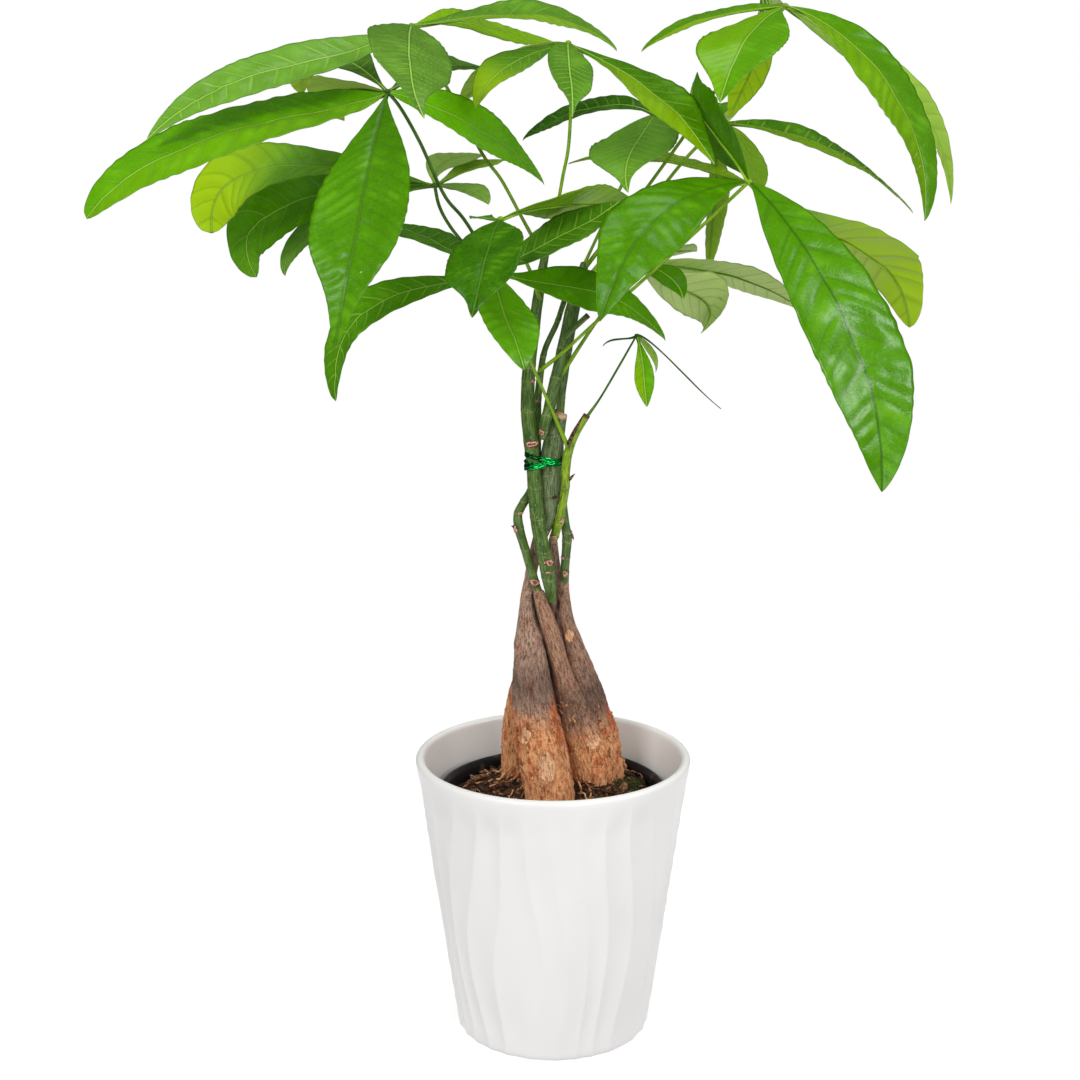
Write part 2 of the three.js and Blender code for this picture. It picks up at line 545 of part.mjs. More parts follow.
addPiece(plant, 'twist_tie', largestOf(cutBy(twistTie(), seats)), 'foil');

for (const [name, leaf] of Object.entries(LEAVES)) {
  addPiece(plant, name, compoundLeaf(leaf, seats), 'leaf_green');
}

export default pottedTree;
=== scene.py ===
import math
import random

import bmesh
import bpy
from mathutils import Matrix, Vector, noise


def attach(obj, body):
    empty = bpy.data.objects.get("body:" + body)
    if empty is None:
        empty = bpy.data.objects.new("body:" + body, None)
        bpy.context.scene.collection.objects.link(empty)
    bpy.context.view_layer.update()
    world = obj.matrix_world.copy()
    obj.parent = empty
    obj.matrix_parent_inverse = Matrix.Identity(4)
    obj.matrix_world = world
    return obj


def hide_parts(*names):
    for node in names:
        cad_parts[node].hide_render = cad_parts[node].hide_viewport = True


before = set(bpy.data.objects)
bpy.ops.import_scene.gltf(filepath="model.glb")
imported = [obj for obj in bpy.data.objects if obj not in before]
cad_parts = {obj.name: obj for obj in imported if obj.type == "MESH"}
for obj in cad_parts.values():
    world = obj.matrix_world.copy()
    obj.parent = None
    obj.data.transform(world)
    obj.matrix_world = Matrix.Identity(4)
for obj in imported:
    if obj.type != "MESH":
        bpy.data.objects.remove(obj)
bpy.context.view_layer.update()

MM = 0.001
UP = Vector((0, 0, 1))
WHITE = (1, 1, 1, 1)

# Sizes that the frame was built with

GAP = 0.3
POT_HEIGHT = 132
POT_RIM_RADIUS = 63.5
POT_BASE_RADIUS = 44.8
POT_WALL = 4.2
POT_FLOOR = 5
POT_LIP = 2.1
POT_FOOT = 1.5
FLUTES = 28
FLUTE_DEPTH = 0.9
NURSERY_RIM_RADIUS = 52
NURSERY_BASE_RADIUS = 37
NURSERY_WALL = 1.4
NURSERY_LIP = 1.6
NURSERY_HEIGHT = 111.2
PLANT_LEVEL = -2       # heights of the nursery pot and the plant are measured from here
NURSERY_FLOOR = POT_FLOOR + GAP - PLANT_LEVEL
NURSERY_RIM = NURSERY_FLOOR + NURSERY_HEIGHT
SOIL_LEVEL = 113.5
SOIL_MOUND = 8
TRUNK_CENTRE = Vector((4, 17))
BLADE = 0.3            # thickness of a leaflet
STALKLET = 1.5         # breadth of a leaflet at its base
WIDEST_AT = 0.6
BASE_TAPER = 1.35
TIP_TAPER = 0.8
FOLD = 0.08
WAVE = 0.05

# Trunks and stems: stops from the foot up, [x, y, z, width]

TRUNKS = {
    "trunk_front_left": [
        (-1, -9, 78, 18), (-1, -10, 100, 21.5), (-2.2, -8, 122, 22.5), (-5.5, -5, 140, 21.5),
        (-8.6, -3, 158, 19.2), (-10, -1, 174, 16.4), (-11, 1.2, 188, 13), (-11.5, 3.5, 202, 8.5),
        (-10.5, 4.5, 215, 5.6), (-8.7, 5, 225, 5.4), (-6.5, 4, 234, 6), (-3.8, 3, 241, 7),
    ],
    "trunk_front_right": [
        (17, 11, 78, 9), (16.5, 11, 100, 12), (15.5, 10, 122, 13.5), (13, 9, 133, 12.5),
        (9.3, 7, 146, 11), (5.5, 4.5, 163, 9.6), (1.8, 2.5, 180, 8.6), (-2.8, 1, 197, 7.8),
        (-6.5, 0.5, 210, 5.6),
    ],
    "trunk_back_right": [
        (24, 23, 78, 12), (24.4, 22, 100, 15.6), (24.4, 22, 118, 18), (23.2, 21, 131, 17.2),
        (20.4, 19, 143, 16), (17.2, 15.6, 156, 14.6), (13.4, 12, 170, 12), (10, 9, 182, 8.8),
        (6, 6, 197, 6.8), (4.5, 5, 211.5, 5.4),
    ],
    "trunk_back_left": [
        (-17, 22, 78, 9), (-17.2, 22, 100, 12), (-17.4, 22, 118, 13.5), (-17.8, 22, 135, 12),
        (-15.8, 19.5, 154, 10.6), (-12, 17, 170, 9.6), (-7.4, 14.5, 184, 8.2),
        (-2.8, 9.5, 196, 6.2), (-0.5, 3, 206, 4.4),
    ],
    "trunk_back": [
        (4, 34, 78, 10), (3.8, 34, 100, 13), (3.6, 34, 116, 14), (2.6, 33, 134, 12.4),
        (1.6, 28, 156, 11), (0.5, 22.5, 178, 10), (0.9, 17, 199, 8), (1.3, 12, 214, 5.2),
        (-0.1, 4, 233.5, 4.2),
    ],
}
BARK_TONE = {          # how warm the bark is, and how deep its brown
    "trunk_front_left": (0.4, 0.0), "trunk_front_right": (0.85, 0.0), "trunk_back_right": (0.7, 0.2),
    "trunk_back_left": (0.7, 0.3), "trunk_back": (0.4, 0.3),
}

# Between which heights a trunk turns from grey-brown to the orange-tan of its once buried foot

FOOT_ZONE = {
    "trunk_front_left": (161, 147), "trunk_front_right": (149, 134), "trunk_back_right": (152, 135),
    "trunk_back_left": (166, 150), "trunk_back": (160, 145),
}

# Healed wounds and flaking rust-red patches on the bark: middle, half width, half height

WOUNDS = [
    ((7.4, 3.6, 189.2), 1.9, 3.2), ((-12.8, -12.9, 147), 2.8, 4), ((16.6, 4.9, 138), 1.9, 3),
    ((-3.2, -17.3, 132.4), 3.7, 7.6),
]
RUST = [((1.5, -9, 155), 4, 13), ((-17, -9, 142), 3.4, 13), ((29, 17, 148), 5, 13), ((-15, 0, 176), 2, 5)]

STEMS = {
    "stem_main": [
        (-0.7, 1.6, 207, 3.6), (-1.9, -3, 217.5, 5.4), (-3.5, -5, 227, 5.8), (-5.6, -6, 237, 5.6),
        (-7.3, -6, 248, 5.6), (-8.2, -6, 260, 5.6), (-9.1, -6, 273, 5.4), (-10, -6, 281, 5.6),
        (-11.2, -6, 293, 5.4), (-11.3, -6, 306, 5), (-10.4, -6, 318, 4.8), (-8.6, -6, 331, 4.4),
        (-6.9, -5, 344, 4), (-4.7, -4, 358, 3.2), (-3, -3, 366, 2.6),
    ],
    "stem_cut": [
        (-3.6, 2.6, 241.8, 6.8), (-2, 0, 251, 7.5), (-1.3, -2, 263, 8.4), (-1, -3, 275, 8.6),
        (1, -4, 285, 7.5), (3.2, -5, 293.5, 5.2),
    ],
    "stem_thin": [
        (-6.9, 0.4, 211, 4), (-10, -1, 221.6, 4), (-13.2, -3, 233.7, 4), (-15.4, -4, 241.7, 4.4),
        (-15.8, -3, 248, 4), (-13.2, 0, 252.5, 4), (-10.2, 2, 257, 4), (-8, 3.4, 265, 4),
        (-7.4, 3, 280, 4), (-7, 1, 298, 3.4), (-5.6, 1, 312, 3), (-3.8, 2, 321, 2.6),
        (1, 4.4, 331.5, 2.4), (4.1, 7, 340, 2.4), (8, 9.4, 352, 2.2),
    ],
    "stem_shoot": [
        (-0.2, 3.4, 234.2, 4), (1.4, 1.2, 240, 4), (3, -0.6, 245, 4.2), (4.4, -4, 254.3, 3.8),
        (5.4, -7, 263, 3.8), (5.4, -8.2, 269, 4), (6.2, -8.2, 276, 4), (9, -8, 284, 3.6),
        (14.6, -8, 293.5, 3.2),
    ],
    "stem_back": [
        (4.9, 5, 212.3, 4.6), (5.3, 5, 222.4, 4), (6, 4.6, 231, 4.2), (6.2, 4.6, 236, 4.4),
        (5.3, 5.4, 242, 4), (4.2, 6, 250, 4), (3.2, 6.4, 262, 4), (2.6, 6, 280, 4),
        (3.4, 6, 298, 3.8), (6.6, 8.4, 320, 3.4), (10.6, 10.6, 340, 3), (14, 12, 356, 2.6),
    ],
    "stem_leader": [
        (-4.6, -8.6, 283.5, 2.6), (-4, -9.4, 289.3, 4.2), (-2, -7.8, 296, 4.6), (-0.3, -5, 304, 4.6),
        (1.9, -3, 313, 4.4), (4.5, 0, 325.5, 4), (7.6, 3, 340.5, 3.4), (10.7, 5.4, 351, 2.8),
        (13, 7, 358, 2.4),
    ],
    "stalk_stub": [(5, -2.6, 327.2, 2.4), (9.7, -4, 332, 2.4), (14.9, -5, 337, 2.6)],
}
STEM_TONE = {
    "stem_main": 0.72, "stem_cut": 0.0, "stem_thin": 0.7, "stem_shoot": 1.0,
    "stem_back": 0.6, "stem_leader": 0.7, "stalk_stub": 0.7,
}

# Leaf scars on the stems: height, direction in degrees round from the plant's right, breadth, tallness

SCARS = {
    "stem_main": [(226.8, -62, 4, 3), (222, -80, 2, 1.6), (280.6, -85, 5.6, 3.4), (308.6, -40, 2.6, 1.6)],
    "stem_cut": [(256.5, -15, 3.6, 2.6)],
    "stem_thin": [(241.8, -150, 4, 3.4), (248.6, -60, 2.6, 1.8), (216, -85, 4.4, 4), (298.5, -110, 2.2, 1.6)],
    "stem_shoot": [(244.6, -70, 2.8, 2.6), (236.4, -95, 4, 1.8)],
    "stem_back": [(237.8, -10, 2.6, 2.2), (226, -120, 2.6, 1.6), (219, -85, 3, 3.6), (212.5, -95, 3.6, 2)],
    "stem_leader": [(286.5, -110, 3, 2.6)],
}

# How far the skin of the softest stems stands past their solids, so that they press together, and the
# height under which a stem still wears bark

STEM_PLUMP = {"stem_main": 0.45, "stem_cut": 0.3, "stem_leader": 0.3}
BROWN_BELOW = {"stem_thin": 213, "stem_shoot": 235, "stem_back": 215}

# Buds, thorns and dead bark that stand on the stems: foot, tip, breadth

BUDS = {
    "stem_thin": [((-17, -4.8, 241.6), (-18.8, -5.6, 243), 1.5)],
    "stem_cut": [((-0.6, -4.4, 255.4), (2.6, -7, 256.8), 1.7), ((0.4, -3.2, 293), (0.2, -3.6, 296), 3)],
    "stem_back": [((8.1, 3.9, 236.8), (9.2, 3.2, 234.6), 1.7)],
    "stem_shoot": [
        ((7.2, -8.6, 264.8), (9.5, -9.2, 267.4), 1.4), ((6.6, -9.2, 281), (12.8, -9.6, 293.6), 2.1),
    ],
}

# Compound leaves. A leaflet's rib passes through three points after the hub: a third of the way, two
# thirds, and the tip. Its looks are
#   tone     dark to bright green
#   glow     yellow of a backlit blade, from glow_from on along it, on the half that lit names
#   wan  how pale its face is, on some leaflets a painted grey sheen, and back how pale its back
#   veins    dark lines to light ones, and spacing the side veins' distance
#   crinkle  how far it is puckered near its tip
#   point    how far its tip is drawn out, and taper and base, under 1, how full its end and its foot are
#   turn     degrees that it is rolled further than its plain solid, and breadth how much broader it is

LOOKS = {
    "turn": 0, "breadth": 1.0,
    "tone": 0.6, "glow": 0.0, "glow_from": -1.0, "lit": 0, "wan": 0.0, "back": 1.0, "veins": 0.3,
    "spacing": 0.0, "crinkle": 0.15, "point": 0.15, "taper": TIP_TAPER, "base": BASE_TAPER,
}


def leaflet(first, second, tip, wide, roll, twist=0, widest=WIDEST_AT, **looks):
    """A leaflet of the list below, with the looks that it doesn't name taken from LOOKS."""
    return {
        "first": Vector(first), "second": Vector(second), "tip": Vector(tip), "wide": wide,
        "roll": roll, "twist": twist, "widest": widest, **LOOKS, **looks,
    }


LEAVES = {
    "leaf_upper_left": {
        "hub": (-70, -15, 432), "green": 0.1,
        "stalk": [(-8, -6, 324), (-38, -11, 378), (-46, -14, 388), (-57, -16, 412), (-65, -16, 426)],
        "leaflets": [
            leaflet((-100, -22, 424), (-149, -38, 411), (-191, -50, 382), 40, 32, 0, 0.5,
                    tone=0.66, veins=0.1, crinkle=0.3, taper=0.5, breadth=1.08, glow=0.15, lit=-1),
            leaflet((-75, -55, 402), (-80, -82, 370), (-87, -92, 334), 40, -10, 0, 0.48,
                    tone=0.42, veins=-0.58, crinkle=0.42, point=0.6, spacing=6),
            leaflet((-52, -12, 426), (-25, 0, 412), (-4, 14, 392), 30, -25, 0, 0.5,
                    tone=0.95, veins=0.55, spacing=5, point=0.3),
            leaflet((-88, 18, 444), (-99, 36, 444), (-110, 50, 441), 28, 20, tone=0.1, wan=0.15, veins=0.7),
            leaflet((-85, 20, 433), (-98, 36, 431), (-94, 44, 419), 26, -25, glow=0.8, wan=0.3, crinkle=0.9),
            leaflet((-54, 28, 441), (-38, 55, 443), (-22, 80, 438), 28, -10, tone=0.2, wan=0.1, veins=0.5),
        ],
    },
    "leaf_top_left": {
        "hub": (-60, -5, 459), "green": 0.45,
        "stalk": [
            (-3.4, -3, 360), (-14, -1, 379), (-23, 3, 395), (-30, 6, 404), (-43, 8, 428), (-49, 4, 439),
        ],
        "leaflets": [
            leaflet((-96, -12, 446), (-132, -25, 436), (-167, -40, 413), 28, 38, 0, 0.45,
                    tone=0.5, wan=0.15, veins=0.6, crinkle=0.5),
            leaflet((-59, -40, 452), (-56, -75, 438), (-50, -95, 423), 34, 20, 0, 0.44,
                    tone=0.22, wan=0.16, veins=0.9, spacing=4, point=0.95, crinkle=0.4, breadth=1.06),
            leaflet((-32, 5, 463), (-1, 14, 463), (27, 8, 449), 32, -15,
                    tone=0.3, wan=0.1, veins=0.4, glow=0.35, lit=1),
            leaflet((-40, 30, 461), (-19, 60, 457), (2, 88, 453), 30, -25, tone=0.6, glow=0.4),
            leaflet((-79, 32, 455), (-106, 66, 447), (-117, 84, 430), 24, 15, 0, 0.72, glow=0.9, back=0.3),
        ],
    },
    "leaf_top_centre": {
        "hub": (6, 0, 452), "green": 0.6,
        "stalk": [
            (-3, -3, 366), (0, -1, 377), (2, 0, 386), (4, 0, 397), (6, 0, 407), (7, 0, 421), (7, 0, 439),
        ],
        "leaflets": [
            leaflet((6, -20, 445), (7, -38, 434), (7, -45, 422), 20, 25, 0, 0.42,
                    tone=0.25, wan=0.1, veins=0.9, spacing=3.2, point=0.95),
            leaflet((-8, -5, 448), (-23, -12, 440), (-33, -18, 425), 24, 15,
                    tone=0.3, veins=0.5, glow=0.8, glow_from=0.5, wan=0.1),
            leaflet((29, -8, 440), (49, -22, 425), (66, -35, 403), 30, -20,
                    tone=0.2, veins=0.4, glow=0.4, glow_from=0.0, lit=1, point=0.35),
            leaflet((7, 22, 446), (8, 38, 438), (7, 46, 429), 16, 40, tone=0.4),
            leaflet((-10, 12, 449), (-27, 18, 439), (-41, 24, 427), 24, -5, glow=0.9, wan=0.1),
        ],
    },
    "leaf_centre_right": {
        "hub": (44, 20, 422), "green": 0.55,
        "stalk": [(12, 5.8, 355), (15, 9, 361), (28, 14, 388), (31, 15, 394), (38, 18, 409)],
        "leaflets": [
            leaflet((26, 32, 426), (5, 44, 421), (-14, 52, 410), 24, 25, tone=0.15, veins=0.5, crinkle=0.5),
            leaflet((37, 2, 413), (31, -14, 403), (31, -24, 391), 32, -20, 0, 0.42,
                    tone=0.52, wan=0.14, veins=0.9, spacing=4, point=0.95, base=0.8, breadth=1.2, turn=12),
            leaflet((50, 55, 425), (56, 88, 422), (60, 108, 411), 32, -55),
        ],
    },
    "leaf_top_right": {
        "hub": (100, 20, 468), "green": 0.6,
        "stalk": [(14, 12, 356), (38, 12, 387), (54, 13, 409), (77, 18, 441)],
        "leaflets": [
            leaflet((81, 30, 466), (60, 38, 461), (39, 40, 449), 22, 20, tone=0.45, glow=0.6, lit=-1),
            leaflet((85, 0, 458), (75, -20, 445), (68, -32, 428), 27, 5, 0, 0.5,
                    tone=0.6, veins=-0.2, spacing=3.8, point=0.5, breadth=1.4, glow=0.2, lit=1),
            leaflet((94, 34, 457), (87, 40, 439), (78, 40, 420), 24, 15, glow=1.0, back=0.1, veins=-0.1),
            leaflet((127, 12, 453), (152, 4, 421), (159, -8, 378), 36, -20,
                    tone=0.45, veins=-0.1, spacing=7, glow=0.25, lit=1),
            leaflet((133, 44, 450), (168, 62, 424), (186, 70, 380), 28, -60, glow=0.45, wan=0.4, back=0.6),
            leaflet((98, 62, 468), (96, 88, 459), (94, 98, 441), 28, 85),
        ],
    },
    "leaf_right": {
        "hub": (82, -20, 395), "green": 0.85,
        "stalk": [(-6, 0, 312), (3, -6, 320), (19, -15, 336), (50, -22, 365)],
        "leaflets": [
            leaflet((57, -40, 391), (35, -60, 376), (18, -74, 343), 40, 20,
                    tone=0.4, veins=-0.6, spacing=8, crinkle=0.6, point=0.4),
            leaflet((101, -35, 373), (124, -58, 329), (133, -78, 274), 48, -25, 0, 0.64,
                    tone=0.48, veins=-0.7, spacing=10, crinkle=0.36),
            leaflet((114, 0, 374), (145, 18, 357), (161, 26, 328), 40, 20, 0, 0.7,
                    glow=1.0, glow_from=0.1, back=0.2, veins=-0.3, spacing=11, taper=0.6, point=0.5),
            leaflet((64, 20, 399), (39, 46, 403), (7, 62, 399), 28, 0, glow=0.6, back=0.35, veins=0.1),
            leaflet((71, -14, 411), (61, -8, 424), (61, 0, 440), 28, -80,
                    tone=0.35, back=0.0, veins=-0.2, turn=25, breadth=1.3, widest=0.5),
        ],
    },
    "leaf_back_right": {
        "hub": (71, 30, 418), "green": 0.7,
        "stalk": [(12, 11, 348), (38, 11, 379), (56, 8, 402), (66, 16, 412)],
        "leaflets": [
            leaflet((99, 36, 415), (132, 46, 403), (166, 56, 377), 24, -20,
                    tone=0.3, veins=0.7, glow=0.45, lit=1),
            leaflet((81, 22, 412), (87, 16, 400), (88, 12, 388), 22, 0, tone=0.5, glow=0.35, wan=0.15),
            leaflet((73, 34, 397), (72, 34, 375), (70, 30, 354), 24, -35, glow=0.7, wan=0.3, back=0.5),
            leaflet((75, 58, 424), (80, 86, 425), (81, 104, 414), 28, 10),
        ],
    },
    "leaf_front": {
        "hub": (-24, -45, 360), "green": 0.7,
        "stalk": [(6.4, -8, 279), (-2, -12, 299), (-11, -25, 322), (-23, -43, 354)],
        "leaflets": [
            leaflet((-42, -30, 367), (-57, -10, 372), (-74, 12, 375), 30, 5, tone=0.35, veins=0.5),
            leaflet((-51, -45, 354), (-80, -48, 342), (-91, -52, 307), 23, 25, 0, 0.7,
                    tone=0.45, veins=0.6, crinkle=0.5, taper=0.5, point=0.0, breadth=1.12, back=0.0),
            leaflet((-23, -72, 354), (-17, -96, 341), (-12, -106, 328), 26, 25, 0, 0.5,
                    tone=0.56, veins=-0.3, spacing=6),
            leaflet((0, -40, 354), (24, -36, 348), (47, -34, 330), 29, -30, tone=0.48, veins=-0.2, spacing=6),
            leaflet((-10, -44, 368), (7, -40, 376), (27, -36, 388), 28, -30, tone=0.2, veins=0.6, wan=0.05),
        ],
    },
    "leaf_front_upper": {
        "hub": (-22, -55, 382), "green": 0.6,
        "stalk": [(-6, -6, 344), (-12, -25, 362), (-19, -44, 373)],
        "leaflets": [
            leaflet((-26, -82, 374), (-29, -104, 362), (-32, -112, 349), 29, -10, 0, 0.45,
                    tone=0.12, veins=-0.56, spacing=4.2, point=0.8, breadth=1.1),
            leaflet((-4, -42, 386), (15, -24, 386), (33, -8, 387), 26, 25, glow=0.45, back=0.2, tone=0.5),
            leaflet((-28, -50, 382), (-31, -44, 382), (-35, -38, 381), 9, 5, tone=0.3),
        ],
    },
    "leaf_left": {
        "hub": (-52, 10, 392), "green": 0.15,
        "stalk": [(-9, -5, 331), (-32, 3, 359), (-45, 7, 374), (-50, 9, 383)],
        "leaflets": [
            leaflet((-94, 18, 399), (-137, 32, 396), (-155, 40, 369), 35, 20, 70, 0.72,
                    glow=1.0, glow_from=0.45, tone=0.45, wan=0.1, back=0.1, veins=-0.3, taper=0.5, point=0.0),
            leaflet((-91, 30, 389), (-131, 46, 376), (-137, 52, 348), 38, 30, 60, 0.68,
                    tone=0.55, back=0.02, veins=0.4, taper=0.6, crinkle=0.6),
            leaflet((-80, 22, 385), (-110, 34, 370), (-122, 38, 350), 20, 30, 40,
                    tone=0.75, wan=0.2, back=0.2),
            leaflet((-50, 26, 400), (-41, 40, 403), (-31, 50, 403), 20, 10, wan=0.75, glow=0.2),
            leaflet((-43, 2, 392), (-34, -4, 390), (-28, -8, 385), 13, -15, wan=0.45, tone=0.3),
            leaflet((-41, 26, 397), (-31, 42, 400), (-21, 50, 401), 14, -5, glow=0.8, wan=0.4),
        ],
    },
    "leaf_right_lower": {
        "hub": (38, 5, 359), "green": 0.6,
        "stalk": [(1, -4, 307), (19, 6, 333), (31, 5, 349)],
        "leaflets": [
            leaflet((60, 14, 356), (85, 20, 350), (114, 24, 335), 26, 25,
                    tone=0.95, wan=0.95, veins=-0.2, glow=0.1),
            leaflet((52, 10, 349), (67, 12, 341), (65, 4, 328), 34, 25,
                    tone=0.95, wan=0.95, veins=-0.2, glow=0.15),
            leaflet((44, -3, 357), (51, -12, 353), (55, -20, 346), 12, -15, tone=0.55),
            leaflet((48, 26, 361), (58, 40, 361), (66, 50, 360), 14, 25, wan=0.4),
        ],
    },
    "leaf_young": {
        "hub": (36, -10, 329), "green": 0.2,
        "stalk": [(14.8, -8, 293), (20, -6, 300), (29, -8, 316)],
        "leaflets": [
            leaflet((38, -18, 319), (39, -22, 309), (40, -24, 300), 7, 15,
                    tone=0.9, glow=0.5, lit=1, veins=0.0, breadth=1.4),
            leaflet((40, -4, 324), (44, -1, 318), (45, 2, 311), 5, -90, wan=0.5, glow=0.4),
            leaflet((46, -6, 322), (60, -2, 308), (74, 0, 295), 2.4, -60, tone=-0.7, veins=-1, breadth=0.28),
            leaflet((32, -14, 328), (26, -18, 328), (21, -22, 326), 2.4, 30,
                    tone=-0.7, veins=-1, breadth=0.35),
        ],
    },
}

# Finishes


def paint(red, green, blue):
    """A colour given as it looks on a screen, 0 to 255, as linear light."""
    def linear(level):
        share = level / 255
        return share / 12.92 if share <= 0.04045 else ((share + 0.055) / 1.055) ** 2.4

    return (linear(red), linear(green), linear(blue), 1.0)


class Finish:
    """A material: one Principled shader, and methods that add the nodes which feed it."""

    def __init__(self, name, roughness, specular=0.5):
        self.material = bpy.data.materials.new(name)
        self.material.use_nodes = True
        self.tree = self.material.node_tree
        self.shader = self.tree.nodes["Principled BSDF"]
        self.shader.inputs["Roughness"].default_value = roughness
        self.shader.inputs["Specular IOR Level"].default_value = specular

    def feed(self, socket, value):
        if isinstance(value, bpy.types.NodeSocket):
            self.tree.links.new(value, socket)
        else:
            socket.default_value = value

    def add(self, kind, inputs, output=0, **settings):
        node = self.tree.nodes.new("ShaderNode" + kind)
        for name, value in settings.items():
            setattr(node, name, value)
        for key, value in inputs.items():
            self.feed(node.inputs[key], value)
        return node.outputs[output]

    def place(self):
        return self.add("TexCoord", {}, "Object")

    def layer(self, name):
        """The three values of a mesh attribute, and the whole vector."""
        vector = self.add("Attribute", {}, "Vector", attribute_name=name)
        return (*self.add("SeparateXYZ", {"Vector": vector}).node.outputs, vector)

    def join(self, x, y, z):
        return self.add("CombineXYZ", {"X": x, "Y": y, "Z": z})

    def math(self, operation, *values):
        return self.add("Math", dict(enumerate(values)), operation=operation)

    def step(self, value, low, high):
        """0 below low and 1 above high, with a smooth change between. low may be the higher."""
        return self.add("MapRange", {"Value": value, "From Min": low, "From Max": high},
                        interpolation_type="SMOOTHSTEP")

    def swing(self, value, size):
        """A value of 0 to 1 turned into one that swings round 0, by this much in all."""
        return self.math("MULTIPLY_ADD", value, size, -size / 2)

    def mix(self, share, first, second):
        """From one colour to another. Each is a socket, or red, green and blue as for paint."""
        first, second = (paint(*end) if isinstance(end, tuple) else end for end in (first, second))
        return self.add("Mix", {0: share, 6: first, 7: second}, 2, data_type="RGBA")

    def coats(self, under, *coats):
        """Lays coats of colour over one. Each has where it lies, how strong it is at most, and its colour."""
        for share, most, over in coats:
            if most < 1:
                share = self.math("MULTIPLY", share, most)
            under = self.mix(share, under, over)
        return under

    def stretch(self, vector, scale):
        return self.add("VectorMath", {0: vector, 1: scale}, operation="MULTIPLY")

    def grain(self, vector, scale, detail=3.0, roughness=0.55, along=1):
        """Noise, drawn out along Z where along is under 1."""
        if along < 1:
            vector = self.stretch(vector, (1, 1, along))
        inputs = {"Vector": vector, "Scale": scale, "Detail": detail, "Roughness": roughness}
        return self.add("TexNoise", inputs)

    def cells(self, vector, scale, feature="F1"):
        return self.add("TexVoronoi", {"Vector": vector, "Scale": scale}, "Distance", feature=feature)

    def distance(self, vector, point):
        return self.add("VectorMath", {0: vector, 1: point}, "Value", operation="DISTANCE")

    def colour(self, value):
        self.feed(self.shader.inputs["Base Color"], value)

    def rough(self, value):
        self.feed(self.shader.inputs["Roughness"], value)

    def bump(self, height, depth_mm, strength=1.0):
        inputs = {"Height": height, "Distance": depth_mm * MM, "Strength": strength}
        self.feed(self.shader.inputs["Normal"], self.add("Bump", inputs, "Normal"))


def leaf_skin():
    """A leaflet: glossy green face and paler, duller back, with midrib, side veins and a fine net."""
    finish = Finish("leaf_skin", 0.34, 0.18)
    tone, glow, wan, _ = finish.layer("shade")
    along, off, edge, _ = finish.layer("blade")
    phase, veins, seed, _ = finish.layer("vein")
    aside = finish.math("ABSOLUTE", off)
    away = finish.math("PINGPONG", phase, 0.5)
    spread = finish.join(along, off, finish.math("MULTIPLY", seed, 0.1))
    patch = finish.grain(spread, 7.0, 4.0)
    fine = finish.grain(finish.stretch(spread, (2.4, 1, 1)), 60.0, 3.0)
    net = finish.step(finish.cells(spread, 36.0, "DISTANCE_TO_EDGE"), 0.09, 0.02)
    level = finish.math("ADD", tone, finish.swing(patch, 0.54))
    level = finish.math("ADD", level, finish.swing(fine, 0.36))
    face = finish.coats(finish.mix(level, (36, 86, 0), (104, 180, 0)), (glow, 0.92, (166, 204, 0)))
    pale = finish.coats(finish.mix(level, (148, 184, 84), (206, 230, 142)), (glow, 0.8, (160, 200, 10)))
    # painted sheen: paler patches on the quilted crests between side veins, standing in for gloss highlights
    painted_crest_sheen = finish.math("MULTIPLY", finish.step(away, 0.16, 0.42), finish.step(patch, 0.5, 0.66))
    line = finish.mix(finish.math("MULTIPLY_ADD", veins, 0.5, 0.5), (30, 76, 0), (170, 216, 80))
    side = finish.math("MULTIPLY", finish.step(away, 0.075, 0.02), finish.step(edge, 1.0, 0.6))
    bright = finish.math("MULTIPLY_ADD", finish.step(veins, 0.2, 0.8), 0.24, 0.3)
    thin = finish.math("MULTIPLY_ADD", finish.math("MAXIMUM", glow, wan), -0.5, 1.0)
    side = finish.math("MULTIPLY", side, finish.math("MULTIPLY", bright, thin))
    midrib = finish.mix(finish.step(veins, -0.8, 0.0), (40, 88, 0), (168, 214, 84))
    finish.colour(finish.coats(
        face,
        # pale face and back, and on some leaflets a painted grey sheen of reflected light
        (wan, 1, pale),
        # painted shade: darker along the grooves of the side veins
        (finish.step(away, 0.15, 0.02), 0.16, (30, 84, 0)),
        (net, 0.06, (130, 190, 20)),
        # painted sheen on the quilted crests
        (painted_crest_sheen, 0.14, (146, 210, 40)),
        (side, 1, line),
        # painted shadow: darker in the groove on either side of the midrib
        (finish.step(aside, 0.01, 0.005), 0.36, (26, 74, 0)),
        (finish.step(aside, 0.0042, 0.0024), 0.7, midrib),
        (finish.step(edge, 0.955, 0.995), 0.4, (60, 104, 10)),
    ))
    gloss = finish.math("MULTIPLY_ADD", patch, 0.2, 0.16)
    finish.rough(finish.math("MULTIPLY_ADD", wan, 0.25, gloss))
    finish.bump(finish.math("ADD", fine, finish.math("MULTIPLY", net, -0.4)), 0.08, 0.6)
    return finish.material


def stalk_skin():
    """Leaf stalks and hubs: smooth green, streaked along their length."""
    finish = Finish("stalk_skin", 0.42, 0.2)
    skin = finish.layer("skin")[3]
    green = finish.layer("shade")[0]
    streak = finish.grain(skin, 16.0, 3.0, along=0.08)
    dark = finish.mix(green, (30, 68, 10), (120, 172, 10))
    light = finish.mix(green, (62, 108, 30), (174, 212, 54))
    finish.colour(finish.mix(finish.step(streak, 0.35, 0.7), dark, light))
    return finish.material


